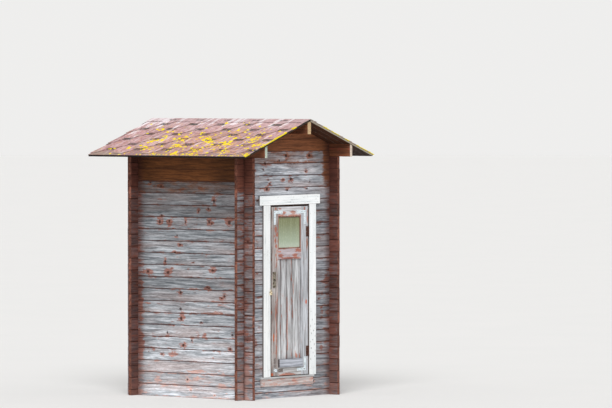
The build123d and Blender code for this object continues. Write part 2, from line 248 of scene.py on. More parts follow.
def evaluatedMesh(carrier, name):
    bpy.context.view_layer.update()
    graph = bpy.context.evaluated_depsgraph_get()
    made = bpy.data.meshes.new_from_object(carrier.evaluated_get(graph), depsgraph=graph)
    made.name = name
    bpy.data.objects.remove(carrier)
    return made


def softened(mesh, width):
    # bevels the edges of a mesh and returns the result as a plain mesh
    carrier = addObject("carrier", mesh)
    bevel = carrier.modifiers.new("bevel", "BEVEL")
    bevel.width = width
    bevel.segments = 2
    bevel.limit_method = "ANGLE"
    bevel.angle_limit = math.radians(35)
    bevel.use_clamp_overlap = True
    return evaluatedMesh(carrier, mesh.name)


# Camera, light and floor.

view = dict(
    place=(-43.8785, -37.8485, 3.505), heading=50.0, tilt=-1.408, focalPixels=5310.3, imageWidth=612, sensor=36,
    reach=400,
)
heading, tilt = math.radians(view["heading"]), math.radians(view["tilt"])
lookAt = Vector((math.sin(heading) * math.cos(tilt), math.cos(heading) * math.cos(tilt), math.sin(tilt)))
camera = addObject("camera", bpy.data.cameras.new("camera"))
bpy.context.scene.camera = camera
camera.location = view["place"]
camera.rotation_euler = lookAt.to_track_quat("-Z", "Y").to_euler()
camera.data.sensor_width = view["sensor"]
camera.data.lens = view["focalPixels"] / view["imageWidth"] * view["sensor"]
camera.data.clip_end = view["reach"]
bpy.context.scene.view_settings.view_transform = "Standard"

studio = dict(
    sunFrom=(-0.62, -0.46, 0.64), sunStrength=2.56, sunSpread=34, sky=0.50, backdrop=0.86,
    skyTone=(1.0, 0.995, 0.985, 1.0), floorTone=(233, 233, 232), floorPale=(237, 236, 235),
    floorReach=170,
)
sun = addObject("key", bpy.data.lights.new("key", "SUN"))
sun.data.energy = studio["sunStrength"]
sun.data.angle = math.radians(studio["sunSpread"])
sun.rotation_euler = Vector(studio["sunFrom"]).to_track_quat("Z", "Y").to_euler()

world = bpy.data.worlds.new("studio")
bpy.context.scene.world = world
world.use_nodes = True
bench["tree"] = world.node_tree
rays = addNode("ShaderNodeLightPath").outputs
seen = most(rays["Is Camera Ray"], most(rays["Is Glossy Ray"], rays["Is Transmission Ray"]))
glow = fade(seen, 0.0, 1.0, studio["sky"], studio["backdrop"], smooth=False)
background = world.node_tree.nodes["Background"].inputs
background["Color"].default_value = studio["skyTone"]
world.node_tree.links.new(glow, background["Strength"])

floorFinish, x, y, z = newFinish("paleFloor", rough=0.9, gloss=0.1)
cloud = grain(join3(x, y, z), (0.8, 0.8, 0.0))
wire(floorFinish, mix(cloud, rgb(*studio["floorTone"]), rgb(*studio["floorPale"])), cloud, 0.0005)
bm = bmesh.new()
bmesh.ops.create_circle(bm, cap_ends=True, segments=96, radius=studio["floorReach"])
floor = addObject("floor", toMesh(bm, "floor"))
if floor.data.polygons[0].normal.z < 0:
    floor.data.flip_normals()
coat(floor.data, floorFinish)
print("studio ready")


# Log finish: grey wood, what is left of its red paint, knots, and painted light and shade on the walls and in the
# corners.

logLook = dict(
    dark=(100, 104, 109), mid=(142, 146, 151), light=(186, 190, 196), pink=(174, 154, 150), crack=(70, 58, 56),
    paint=(108, 58, 45), paintPale=(162, 102, 82), paintFoot=(204, 166, 156), joint=(60, 34, 29), knot=(50, 32, 28),
    shadeAndOldPaint=(84, 48, 40), finTop=(120, 72, 58), stain=(122, 74, 40), stainDark=(76, 44, 24), end=(140, 88, 70),
    endDark=(82, 48, 40), inside=(176, 138, 98), insideDark=(140, 100, 66), insideKnot=(96, 60, 38),
)
# repeats to the metre: along the log, up its face and into it
logGrain = dict(
    patch=(6.5, 22.0, 12.0), ragged=(34.0, 62.0, 20.0), bands=(3.8, 66.0, 16.0), pale=(2.8, 46.0, 10.0),
    wide=(1.1, 8.0, 3.0), fine=(18.0, 180.0, 90.0), lines=(2.4, 60.0, 30.0), rings=(90.0, 34.0, 4.0),
)
# distances and heights between which each effect comes and goes
logWear = dict(
    seam=(0.0066, 0.0024), paintByJoint=(0.020, 0.004), paintByCorner=(0.11, 0.01), shadeByCorner=(0.12, 0.0),
    shadeOnFin=(0.050, 0.0), paintOnRight=(0.55, 0.72), paintAtFoot=(0.40, 0.26), paleAtFoot=(0.55, 0.15),
    stainOnFin=(2.02, 2.42), stainOnWall=(2.02, 2.40), film=(0.61, 0.73), smallKnot=(0.018, 0.050), depth=0.0016,
)
# knots and worn paint that can be told apart: (along, height, half length, half height)
sideKnots = [
    (0.41, 2.283, 0.016, 0.011), (-0.35, 2.13, 0.016, 0.022), (0.40, 1.967, 0.014, 0.013),
    (-0.13, 2.016, 0.012, 0.015), (-0.27, 2.047, 0.013, 0.013), (0.43, 1.895, 0.014, 0.022),
    (0.29, 1.906, 0.014, 0.016), (0.06, 1.898, 0.011, 0.018), (-0.28, 1.905, 0.014, 0.016),
    (-0.32, 1.885, 0.010, 0.014), (-0.57, 1.904, 0.022, 0.024), (0.18, 1.753, 0.012, 0.010),
    (0.21, 1.569, 0.014, 0.009), (0.35, 1.466, 0.011, 0.015), (0.31, 1.349, 0.026, 0.016),
    (0.60, 1.351, 0.024, 0.014), (-0.33, 1.383, 0.022, 0.014), (-0.28, 1.190, 0.012, 0.010),
    (0.13, 1.135, 0.017, 0.015), (-0.50, 1.108, 0.017, 0.013), (0.13, 0.957, 0.019, 0.017),
    (0.12, 0.853, 0.019, 0.021), (0.32, 0.695, 0.013, 0.016), (-0.61, 0.694, 0.014, 0.014),
    (-0.03, 0.621, 0.014, 0.010), (0.09, 0.563, 0.019, 0.019), (-0.58, 0.541, 0.014, 0.014),
    (0.40, 0.453, 0.012, 0.012), (0.03, 0.195, 0.014, 0.012),
]
sidePaint = [
    (0.44, 2.139, 0.05, 0.014), (-0.34, 2.150, 0.035, 0.03), (0.07, 1.852, 0.12, 0.02), (0.42, 1.91, 0.06, 0.05),
    (-0.56, 1.90, 0.05, 0.05), (0.28, 1.885, 0.05, 0.045), (-0.30, 1.895, 0.06, 0.045), (0.71, 1.238, 0.05, 0.05),
    (0.59, 1.008, 0.05, 0.013), (-0.40, 1.003, 0.14, 0.022), (-0.50, 0.988, 0.10, 0.02), (-0.42, 0.925, 0.20, 0.018),
    (0.11, 0.88, 0.045, 0.05), (-0.12, 0.697, 0.045, 0.03), (-0.21, 0.680, 0.035, 0.035), (0.32, 0.665, 0.025, 0.03),
    (0.09, 0.575, 0.045, 0.035), (0.52, 0.504, 0.03, 0.02), (0.38, 0.455, 0.045, 0.025), (0.24, 0.458, 0.09, 0.035),
    (-0.43, 0.486, 0.03, 0.035), (-0.08, 0.285, 0.13, 0.016), (0.71, 1.04, 0.04, 0.2), (0.70, 0.55, 0.05, 0.16),
    (0.46, 0.19, 0.06, 0.03), (-0.12, 0.21, 0.07, 0.02), (-0.47, 0.15, 0.06, 0.03), (0.02, 1.39, 0.02, 0.015),
    (0.31, 1.36, 0.06, 0.03), (0.61, 1.355, 0.07, 0.03), (-0.32, 1.385, 0.06, 0.025), (-0.33, 1.06, 0.03, 0.015),
    (0.42, 2.26, 0.08, 0.05), (0.12, 2.26, 0.07, 0.04), (-0.14, 2.27, 0.06, 0.04), (0.57, 2.29, 0.08, 0.03),
]
frontKnots = [
    (-0.04, 2.616, 0.020, 0.017), (0.35, 2.616, 0.026, 0.015), (-0.15, 2.565, 0.014, 0.010),
    (-0.39, 2.536, 0.020, 0.016), (-0.42, 2.469, 0.012, 0.012), (0.29, 2.442, 0.014, 0.011),
    (0.04, 2.365, 0.020, 0.019), (-0.09, 2.355, 0.014, 0.011), (-0.31, 2.314, 0.018, 0.012),
    (0.36, 2.332, 0.011, 0.010), (-0.36, 2.259, 0.018, 0.015), (-0.02, 2.245, 0.018, 0.012),
    (0.31, 2.256, 0.018, 0.012), (-0.52, 2.137, 0.014, 0.010),
]
frontPaint = [
    (-0.04, 2.612, 0.035, 0.03), (0.34, 2.60, 0.05, 0.035), (-0.40, 2.53, 0.10, 0.018), (-0.10, 2.548, 0.16, 0.014),
    (0.22, 2.545, 0.20, 0.014), (-0.52, 1.82, 0.05, 0.055), (-0.52, 1.70, 0.03, 0.045), (-0.53, 1.33, 0.03, 0.05),
    (0.56, 0.90, 0.030, 0.07), (0.55, 0.52, 0.030, 0.06), (0.50, 1.72, 0.07, 0.02), (0.53, 1.88, 0.06, 0.02),
    (-0.36, 2.25, 0.04, 0.02), (0.04, 2.36, 0.05, 0.03), (-0.31, 2.31, 0.035, 0.02), (0.31, 2.26, 0.035, 0.02),
    (0.50, 1.12, 0.07, 0.03), (-0.50, 0.80, 0.05, 0.04), (-0.55, 0.60, 0.03, 0.06), (0.62, 1.25, 0.06, 0.08),
]


def logFinish(name, along, shift, look):
    finish, x, y, z = newFinish(name, 0.86, gloss=0.2)
    tones = palette(dict(logLook, **look["tones"]))
    normal = facing()
    s, d, across, lengthwise = (y, x, normal[0], normal[1]) if along == "y" else (x, y, normal[1], normal[0])
    place = join3(s, z, d)
    course = madd(z, 1 / shed["logHeight"], shift)
    row, part = calc("FLOOR", course), calc("FRACT", course)
    jointGap = mul(least(part, sub(1.0, part)), shed["logHeight"])
    chance = whiteNoise(add(row, look["seed"]))
    luck, turn, _ = split3(chance["Color"])
    slide = mul(chance["Value"], 40.0)
    level = join3(slide, slide, 0.0)
    reachS = absOf(s)
    fin = fade(reachS, look["corner"] - 0.01, look["corner"])
    cornerGap = sub(absOf(sub(reachS, look["corner"] - shed["halfLog"])), shed["halfLog"])
    # fin faces that turn in towards the corner, which get painted shade
    inwardFaceShade = mul(fin, fade(mul(across, calc("SIGN", d)), -0.3, -0.6))

    # knots: the ones listed, and small ones here and there
    patch = grain(place, logGrain["patch"], 5.0, 0.72, level)
    ragged = sub(grain(place, logGrain["ragged"], 4.0, 0.72), 0.5)
    fray = frayField(s, z, 60.0, 0.03)
    spots = join3(madd(s, 2.9, slide), madd(row, 3.7, mul(z, 4.6)), 0.0)
    cells = addNode("ShaderNodeTexVoronoi", {"Vector": spots, "Scale": 1.0}, voronoi_dimensions="2D")
    pickA, pickB, _ = split3(cells.outputs["Color"])
    small = calc("DIVIDE", cells.outputs["Distance"], fade(pickB, 0.0, 1.0, *logWear["smallKnot"]))
    small = add(small, fade(pickA, 0.66, 0.62, 0.0, 9.0))
    reach = least(nearestMark(s, z, look["knots"], vec("MULTIPLY", fray, (0.3, 0.3, 0.0))), small)
    core = fade(madd(ragged, 1.2, reach), 1.25, 0.6)
    halo = mul(fade(madd(ragged, 8.0, reach), 4.2, 0.8), fade(patch, 0.36, 0.5))

    # grain runs along the log and bends a little round its knots
    bend = join3(slide, madd(fade(reach, 4.0, 0.6), 0.5, slide), 0.0)
    bands = grain(place, logGrain["bands"], 4.0, 0.66, bend)
    pale = grain(place, logGrain["pale"], 5.0, 0.68, level)
    wide = grain(place, logGrain["wide"], 2.0, 0.5, level)
    fine = grain(place, logGrain["fine"], 2.0, 0.6, bend)
    lines = grain(place, logGrain["lines"], 3.0, 0.55, bend)
    crack = mul(fade(absOf(sub(lines, 0.5)), 0.015, 0.0), fade(wide, 0.38, 0.58))
    wood = mix(fade(bands, 0.36, 0.54), tones["dark"], tones["mid"])
    wood = mix(fade(madd(pale, 0.6, mul(bands, 0.4)), 0.46, 0.62), wood, tones["light"])
    wood = mix(mul(fade(wide, 0.42, 0.7), look["warm"]), wood, tones["pink"])
    shade = mul(fade(fine, 0.25, 0.75, 0.80, 1.20), fade(luck, 0.0, 1.0, 0.84, 1.14))
    # these levels paint light and shade along with weathering: the side walls are lighter towards the foot and darker
    # up under the eave, partly wear and partly painted light and shade, and darker towards the back corner as painted
    # shade; the gable is lifted with painted light against the eave's shadow and darker towards both corners as
    # painted shade
    for axis, low, high, toLow, toHigh in look["levels"]:
        shade = mul(shade, fade(z if axis == "z" else s, low, high, toLow, toHigh))
    wood = dim(wood, shade)
    wood = mix(mul(crack, 0.6), wood, tones["crack"])

    # what is left of the red paint: by the joints, round knots, at the corners, and in patches
    under = most(fade(z, *look["eave"]), mul(fin, fade(z, *logWear["stainOnFin"])))
    if "stained" in look:
        high = fade(z, *logWear["stainOnWall"], 0.0, 0.75)
        under = most(under, mul(fade(s, *look["stained"]), high))
    worn = nearestMark(s, z, look["paint"], fray)
    boost = 0.0
    for amount, weight in (
        (fade(jointGap, *logWear["paintByJoint"]), 0.13), (halo, 0.20),
        (fade(cornerGap, *logWear["paintByCorner"]), look["cornerPaint"]), (fin, look["finPaint"]),
        (fade(x, *logWear["paintOnRight"]), 0.05), (fade(z, *logWear["paintAtFoot"]), 0.052), (under, 0.06),
        (fade(madd(ragged, 2.4, worn), 1.5, 0.3), 0.19), (ragged, 0.22),
    ):
        boost = madd(amount, weight, boost)
    film = mul(fade(add(patch, boost), *logWear["film"]), fade(fine, 0.2, 0.6, 0.6, 1.0))
    red = mix(fade(bands, 0.35, 0.62), tones["paint"], tones["paintPale"])
    red = mix(fade(z, *logWear["paleAtFoot"], 0.0, 0.8), red, tones["paintFoot"])
    wood = mix(mul(film, 0.86), wood, dim(red, calc("POWER", shade, 0.6)))

    # timber under the eave has kept its stain; shade is painted into the corners, over the fins and onto their inward
    # faces, in the dark red-brown that older paint keeps there
    kept = fade(madd(sub(patch, 0.5), 0.7, under), 0.42, 0.72)
    kept = most(kept, mul(fade(z, *look["half"]), fade(patch, 0.35, 0.65, 0.1, 0.6)))
    stain = mix(fade(bands, 0.3, 0.7), tones["stainDark"], tones["stain"])
    # painted light and shade: the stain is lighter about the middle of the wall and darker towards its corners
    stain = dim(stain, mul(fade(fine, 0.2, 0.8, 0.8, 1.2), fade(absOf(sub(s, 0.1)), 0.2, 0.65, 1.15, 0.72)))
    stain = mix(fin, stain, dim(tones["finTop"], fade(bands, 0.3, 0.7, 0.75, 1.2)))
    wood = mix(kept, wood, stain)
    wood = mix(mul(core, 0.85), wood, tones["knot"])
    onFin = fade(cornerGap, *logWear["shadeOnFin"])
    onWall = mul(fade(cornerGap, *logWear["shadeByCorner"]), look["cornerShade"])
    gloom = most(blend(fin, onWall, mul(onFin, 0.75)), mul(inwardFaceShade, 0.86))
    shadeAndOldPaint = mul(fade(bands, 0.3, 0.7, 0.70, 1.30), fade(luck, 0.0, 1.0, 0.72, 1.28))
    shadeAndOldPaint = mul(shadeAndOldPaint, fade(patch, 0.38, 0.62, 0.80, 1.22))
    wood = mix(most(gloom, mul(fin, look["finShade"])), wood, dim(tones["shadeAndOldPaint"], shadeAndOldPaint))

    # sawn ends keep their paint, and the room side was never painted
    rings = grain(join3(d, z, s), logGrain["rings"], 3.0, 0.6, level)
    sawn = dim(mix(fade(rings, 0.35, 0.65), tones["endDark"], tones["end"]), fade(turn, 0.0, 1.0, 0.55, 1.2))
    wood = mix(fade(absOf(lengthwise), 0.75, 0.85, 0.0, 0.94), wood, sawn)
    pine = mix(fade(bands, 0.3, 0.7), tones["insideDark"], tones["inside"])
    pine = mix(mul(core, 0.7), pine, tones["insideKnot"])
    room = most(calc("DIVIDE", absOf(x), shed["sideFace"] - shed["halfLog"]),
                calc("DIVIDE", absOf(y), shed["gableFace"] - shed["halfLog"]))
    wood = mix(fade(room, 1.004, 0.996), wood, pine)
    seam = mul(fade(jointGap, *logWear["seam"]), fade(kept, 0.0, 1.0, 0.92, 0.5))
    wood = mix(seam, wood, tones["joint"])

    relief = madd(fine, 0.35, mul(bands, 0.9))
    relief = madd(core, 0.35, madd(crack, -0.55, relief))
    wire(finish, wood, relief, logWear["depth"])
    return finish


sideLogs = logFinish("weatheredSideLogs", "y", 0.0, dict(
    seed=3.0, knots=sideKnots, paint=sidePaint, corner=shed["gableFace"], cornerPaint=0.13, finPaint=0.05,
    eave=(2.31, 2.365), half=(2.18, 2.23), warm=0.45, cornerShade=0.62, finShade=0.52, tones={},
    levels=[("z", 0.15, 1.5, 1.48, 0.88), ("z", 1.5, 2.2, 0.98, 0.56), ("z", 0.14, 0.42, 1.09, 1.0),
            ("y", 0.5, 0.75, 1.0, 0.68)],
))
gableLogs = logFinish("weatheredGableLogs", "x", 0.5, dict(
    seed=31.0, knots=frontKnots, paint=frontPaint, corner=shed["sideFace"], cornerPaint=0.06, finPaint=0.09,
    eave=(2.635, 2.69), half=(2.50, 2.55), stained=(0.46, 0.64), warm=0.42, cornerShade=0.68, finShade=0.30,
    levels=[("z", 2.05, 2.3, 1.22, 1.42), ("x", -0.64, -0.54, 0.62, 1.0), ("x", 0.3, 0.5, 1.0, 0.70)],
    tones=dict(dark=(104, 106, 112), mid=(147, 150, 157), stain=(150, 94, 62), stainDark=(100, 62, 42)),
))
print("log finishes ready")


# Log walls: the fitted logs, a little out of line with each other.

wallWear = dict(
    slice=0.14, wander=0.0024, setBack=0.0019, endSetBack=0.003, jointReach=0.0062, trueEnd=0.01, onFace=0.0004,
    seed=11,
)


def wornWall(node, axis, shift):
    bm = merged(node)
    sliceAlong(bm, axis, wallWear["slice"])
    across, height = 1 - axis, shed["logHeight"]
    face, end = (shed["sideFace"], shed["sideEnd"]) if axis == 1 else (shed["gableFace"], shed["gableEnd"])
    low, high = wallWear["trueEnd"], max(v.co.z for v in bm.verts) - wallWear["trueEnd"]
    for v in bm.verts:
        level = v.co.z / height + shift
        joint, row = round(level), math.floor(level + 1e-5)
        sign = 1 if v.co[across] > 0 else -1
        seed = wallWear["seed"] + 40 * axis + 20 * sign
        if abs(level - joint) * height < wallWear["jointReach"] and low < v.co.z < high:
            v.co.z += wallWear["wander"] * noise.noise(Vector((v.co[axis] * 1.9, joint * 5.3, seed)))
        if abs(abs(v.co[across]) - face) < wallWear["onFace"]:
            luck = noise.noise(Vector((row * 7.7 + 0.3, seed * 1.3, 0.5))) + 0.5
            bow = noise.noise(Vector((v.co[axis] * 1.1, row * 3.1, seed + 0.5))) + 0.5
            v.co[across] -= sign * wallWear["setBack"] * (0.6 * luck + 0.6 * bow)
        if abs(abs(v.co[axis]) - end) < wallWear["onFace"]:
            tip = 1 if v.co[axis] > 0 else -1
            luck = noise.noise(Vector((row * 9.1 + 0.7, seed * 2.3, tip * 4.7))) + 0.5
            v.co[axis] -= tip * wallWear["endSetBack"] * max(0.0, luck)
    return toMesh(bm, node + "Logs")


for node in ("left_wall", "right_wall"):
    keep(camel(node) + "Logs", wornWall(node, 1, 0.0), "shed", "log_wood", sideLogs, node)
for node in ("back_wall", "front_wall_base", "front_wall_left", "front_wall_right", "front_gable"):
    keep(camel(node) + "Logs", wornWall(node, 0, 0.5), "shed", "log_wood", gableLogs, node)
print("walls ready")


# Boards: one finish for planed and painted boards, told how its board lies.

# what a board has where its own look says nothing; run, bands and patch are repeats to the metre
plainBoard = dict(
    gloss=0.25, run=1.9, bands=60.0, patch=(5.0, 22.0), crack=0.02, crackTone=0.5, crackColor=(74, 62, 58),
    fine=0.12, speck=0.2, fray=0.02, marks=(), stains=(), cuts=(), seams=0.004, seamPaint=0.0, soft=0.1,
    cover=0.85, filmLift=0.15, depth=0.0012,
)


def boardFinish(name, lies, look, rough=0.8):
    # lies says which axis runs along the board, across its face and into it, such as "zxy"
    look = dict(plainBoard, **look)
    finish, *axes = newFinish(name, rough, gloss=look["gloss"])
    s, t, d = (dict(zip("xyz", axes))[letter] for letter in lies)
    normalS, normalT, _ = (dict(zip("xyz", facing()))[letter] for letter in lies)
    place = join3(s, t, d)
    number, gap = 0.0, None
    if "boards" in look:
        first, cover = look["boards"]
        turn = calc("DIVIDE", sub(t, first), cover)
        number, part = calc("FLOOR", turn), calc("FRACT", turn)
        gap = mul(least(part, sub(1.0, part)), cover)
    for cut in look["cuts"]:
        number = add(number, calc("GREATER_THAN", t, cut))
        gap = absOf(sub(t, cut)) if gap is None else least(gap, absOf(sub(t, cut)))
    luck = whiteNoise(add(number, float(look["seed"])))["Value"]
    slide = join3(mul(luck, 30.0), mul(luck, 30.0), 0.0)
    bands = grain(place, (look["run"], look["bands"], 20.0), 4.0, 0.62, slide)
    wide = grain(place, (1.5, 14.0, 8.0), 3.0, 0.55, slide)
    fine = grain(place, (9.0, 280.0, 120.0), 2.0, 0.6, slide)
    patch = grain(place, (*look["patch"], 16.0), 5.0, 0.7, slide)
    speck = sub(grain(place, (60.0, 120.0, 60.0), 4.0, 0.72), 0.5)
    lines = grain(place, (1.0, 95.0, 40.0), 3.0, 0.5, slide)
    crack = mul(fade(absOf(sub(lines, 0.5)), look["crack"], 0.0), fade(wide, 0.40, 0.62))

    vary = look["fine"]
    wood = mix(fade(bands, 0.34, 0.64), rgb(*look["dark"]), rgb(*look["light"]))
    wood = dim(wood, mul(fade(fine, 0.25, 0.75, 1 - vary, 1 + vary), fade(luck, 0.0, 1.0, 0.93, 1.07)))
    boost = madd(speck, look["speck"], mul(fade(wide, 0.45, 0.7), 0.04))
    fray = frayField(s, t, 90.0, look["fray"])
    if look["marks"]:
        reach = madd(speck, 2.4, nearestMark(s, t, look["marks"], fray))
        boost = madd(fade(reach, 1.4, 0.4), 0.26, boost)
    if "edge" in look:
        # paint that has stayed along the long edges
        low, high, reachIn, amount = look["edge"]
        boost = madd(fade(least(sub(t, low), sub(high, t)), reachIn, 0.0), amount, boost)
    if gap is not None:
        boost = madd(fade(gap, 0.020, 0.005), look["seamPaint"], boost)
    film = fade(add(patch, boost), look["level"], look["level"] + look["soft"])
    red = mix(fade(bands, 0.35, 0.65), rgb(*look["paint"]), rgb(*look["paintPale"]))
    wood = mix(mul(film, look["cover"]), wood, red)
    # stains, and a few dark lines painted as shade along the door leaf's edges and at the kick board's end
    for markTone, spots in look["stains"]:
        reach = nearestMark(s, t, spots, vec("MULTIPLY", fray, (0.5, 0.5, 0.0)))
        wood = mix(fade(madd(speck, 0.8, reach), 1.2, 0.6, 0.0, 0.9), wood, rgb(*markTone))
    wood = mix(mul(crack, look["crackTone"]), wood, rgb(*look["crackColor"]))
    if gap is not None:
        seams = look["seams"]
        wood = mix(fade(gap, seams, seams * 0.3, 0.0, 0.88), wood, rgb(52, 40, 36))
    if "ramp" in look:
        wood = dim(wood, fade(s, *look["ramp"]))
    # darker towards the ends of the board; on the roof boards this is painted shade under the eaves
    if "ends" in look:
        wood = dim(wood, fade(absOf(s), *look["ends"]))
    if "side" in look:
        near = mix(fade(s, -0.01, 0.01), rgb(*look["side"]), rgb(*look.get("sideRight", look["side"])))
        wood = mix(fade(most(absOf(normalT), absOf(normalS)), 0.7, 0.85, 0.0, 0.9), wood, near)
    if "end" in look:
        sawn = dim(rgb(*look["end"]), fade(grain(place, (4.0, 60.0, 60.0), 3.0, 0.6), 0.3, 0.7, 0.75, 1.1))
        wood = mix(fade(absOf(normalS), 0.7, 0.8), wood, sawn)
    relief = madd(film, look["filmLift"], madd(crack, -0.6, madd(fine, 0.3, mul(bands, 0.7))))
    wire(finish, wood, relief, look["depth"])
    return finish


def agedBoard(node, axis, width=0.0016, ripple=0.0007, step=0.16):
    # a copy of a fitted board with soft edges and faces that aren't quite flat
    bm = merged(node)
    low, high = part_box(node)
    sliceAlong(bm, axis, step)
    for v in bm.verts:
        for side in [side for side in range(3) if side != axis]:
            onLow, onHigh = v.co[side] - low[side] < 2e-4, high[side] - v.co[side] < 2e-4
            if onLow or onHigh:
                lean = noise.noise(Vector((v.co[axis] * 2.3, side * 7.1 + low.x * 31, low.z * 17 + onLow))) + 0.5
                v.co[side] += (1 if onLow else -1) * ripple * max(0.0, min(1.0, lean))
    mesh = toMesh(bm, node + "Board")
    return softened(mesh, width) if width else mesh


def dressBoard(name, node, body, slot, finish, axis, **shape):
    keep(name, agedBoard(node, axis, **shape), body, slot, finish, node)


# Geometry node helpers.

def geometryTree(name, inputs):
    tree = bpy.data.node_groups.new(name, "GeometryNodeTree")
    for label, kind in inputs.items():
        tree.interface.new_socket(label, in_out="INPUT", socket_type="NodeSocket" + kind)
    tree.interface.new_socket("Geometry", in_out="OUTPUT", socket_type="NodeSocketGeometry")
    bench["tree"] = tree
    return tree, tree.nodes.new("NodeGroupInput").outputs


def closeTree(geometry, finish):
    real = addNode("GeometryNodeRealizeInstances", {0: geometry})
    dressed = addNode("GeometryNodeSetMaterial", {"Geometry": real.outputs[0], "Material": finish})
    addNode("NodeGroupOutput", {0: dressed.outputs[0]})


def grow(tree, name, values, start=None):
    # runs a tree on a carrier object and hands back its result as a plain mesh
    carrier = addObject(name + "Carrier", start or bpy.data.meshes.new(name))
    modifier = carrier.modifiers.new("make", "NODES")
    modifier.node_group = tree
    for item in tree.interface.items_tree:
        if item.item_type == "SOCKET" and item.in_out == "INPUT" and item.name in values:
            modifier[item.identifier] = values[item.name]
    return evaluatedMesh(carrier, name)


def randomValue(kind, low, high, seed):
    node = addNode("FunctionNodeRandomValue", {"Seed": seed}, data_type=kind)
    names = [socket for socket in node.inputs if socket.enabled]
    for socket, value in zip(names, (low, high)):
        if isinstance(value, bpy.types.NodeSocket):
            bench["tree"].links.new(value, socket)
        else:
            socket.default_value = value
    return [socket for socket in node.outputs if socket.enabled][0]


# a row of boards side by side: x across the boards, y along them, z their thickness
boardRow, given = geometryTree("boardRow", dict(Count="Int", Cover="Float", Board="Vector", Finish="Material"))
line = addNode("GeometryNodeMeshLine", {"Count": given["Count"], "Offset": join3(given["Cover"], 0, 0)})
board = addNode("GeometryNodeMeshCube", {"Size": given["Board"], "Vertices X": 2, "Vertices Y": 6, "Vertices Z": 2})
rows = addNode("GeometryNodeInstanceOnPoints", {"Points": line.outputs[0], "Instance": board.outputs[0]})
closeTree(rows.outputs[0], given["Finish"])

# copies of one piece at given points, each with its own turn, size and tone
setOut, given = geometryTree("setOut", dict(
    Geometry="Geometry", Piece="Object", Turn="Vector", Smallest="Float", Largest="Float", Seed="Int",
    Finish="Material",
))
toned = addNode("GeometryNodeStoreNamedAttribute", {
    "Geometry": given["Geometry"], "Name": "tabTone", "Value": randomValue("FLOAT", 0.0, 1.0, given["Seed"]),
}, data_type="FLOAT", domain="POINT")
angle = randomValue("FLOAT", 0.0, math.tau, add(given["Seed"], 3))
laid = addNode("GeometryNodeInstanceOnPoints", {
    "Points": toned.outputs[0],
    "Instance": addNode("GeometryNodeObjectInfo", {"Object": given["Piece"]}).outputs["Geometry"],
    "Rotation": dim(given["Turn"], angle),
    "Scale": randomValue("FLOAT", given["Smallest"], given["Largest"], add(given["Seed"], 4)),
})
closeTree(laid.outputs[0], given["Finish"])


def setPieces(name, pattern, points, finish, turn=(0, 0, 0), smallest=1.0, largest=1.0, seed=3):
    spots = bpy.data.meshes.new("spots")
    spots.from_pydata([Vector(p) for p in points], [], [])
    return grow(setOut, name, {"Piece": pattern, "Turn": turn, "Smallest": smallest, "Largest": largest,
                               "Seed": seed, "Finish": finish}, spots)


# Roof timber: plates, ridge beam, and the boards of the two slopes.

beamLook = dict(
    seed=5, dark=(84, 48, 32), light=(136, 84, 56), level=0.55, paint=(116, 54, 40), paintPale=(150, 80, 60),
    crackTone=0.4,
)
for node, name, end in (("left_wall_plate", "leftPlateTimber", (186, 196, 182)),
                        ("right_wall_plate", "rightPlateTimber", (214, 198, 182)),
                        ("ridge_beam", "ridgeTimber", (206, 176, 136))):
    dressBoard(name, node, "shed", "log_wood", boardFinish(name, "yzx", dict(beamLook, end=end)), 1, ripple=0.001)

roofBoards = dict(count=22, first=-1.0875, last=1.1675, gap=0.0022, length=1.128, thickness=0.0175, middle=0.0089)


def slopeFrame(side):
    # local x runs along the eave, y down the slope, z out of it
    c, s = math.cos(shed["pitch"]), math.sin(shed["pitch"])
    columns = ((0, -side, 0), (side * c, 0, -s), (side * s, 0, c))
    turn = Matrix([[column[row] for column in columns] for row in range(3)]).to_4x4()
    return Matrix.Translation((0, 0, shed["ridge"])) @ turn


def onSlope(side):
    # the ends of a slope in its own frame: the first is at the roof's front on the left slope
    ends = (-shed["roofFront"], shed["roofBack"])
    return ends if side < 0 else (-ends[1], -ends[0])


roofCover = (roofBoards["last"] - roofBoards["first"]) / roofBoards["count"]
# towards the eaves the boards are painted darker, painted shade under the overhang; their ends are near black, dark
# end grain with a painted shadow along the eave
roofLook = dict(
    seed=9, boards=(roofBoards["first"], roofCover), dark=(52, 26, 12), light=(88, 48, 24), level=0.7,
    paint=(84, 40, 22), paintPale=(100, 54, 30), crackTone=0.3, end=(26, 21, 20), side=(58, 50, 44),
    sideRight=(176, 168, 150), ends=(0.68, 0.92, 0.85, 0.45),
)
soffitFinish = boardFinish("darkRoofBoards", "xyz", roofLook)
for side, name in ((-1, "leftRoofBoards"), (1, "rightRoofBoards")):
    mesh = grow(boardRow, name, {
        "Count": roofBoards["count"], "Cover": roofCover, "Finish": soffitFinish,
        "Board": (roofCover - roofBoards["gap"], roofBoards["length"], roofBoards["thickness"]),
    })
    # on the right slope the frame's x axis points to the front
    start = roofBoards["first"] if side < 0 else -roofBoards["last"]
    mesh.transform(slopeFrame(side) @ Matrix.Translation((start + roofCover / 2, 0.571, roofBoards["middle"])))
    keep(name, mesh, "shed", "roof_wood", soffitFinish, name[:-10] + "_roof_deck")
print("roof timber ready")


# Felt shingles: six-sided tabs, each course half a tab along.

tabs = dict(
    pitch=0.400, gap=0.0006, flat=0.108, slant=0.110, side=0.146, shoulder=0.158, height=0.290, course=0.155,
    firstFoot=0.162, rows=7, columns=8, starterShort=0.014,
    phase=0.040, skew=-0.011, thickness=0.0036, foot=0.0270, curl=0.0030, jitter=0.004, seed=21, lean=0.085,
)


def closeRim(bm):
    # joins the open edges of two matching skins; the upper skin's vertices come first
    bm.verts.index_update()
    bm.verts.ensure_lookup_table()
    half = len(bm.verts) // 2
    for edge in [e for e in bm.edges if e.is_boundary and all(v.index < half for v in e.verts)]:
        a, b = edge.verts
        bm.faces.new((a, b, bm.verts[b.index + half], bm.verts[a.index + half]))


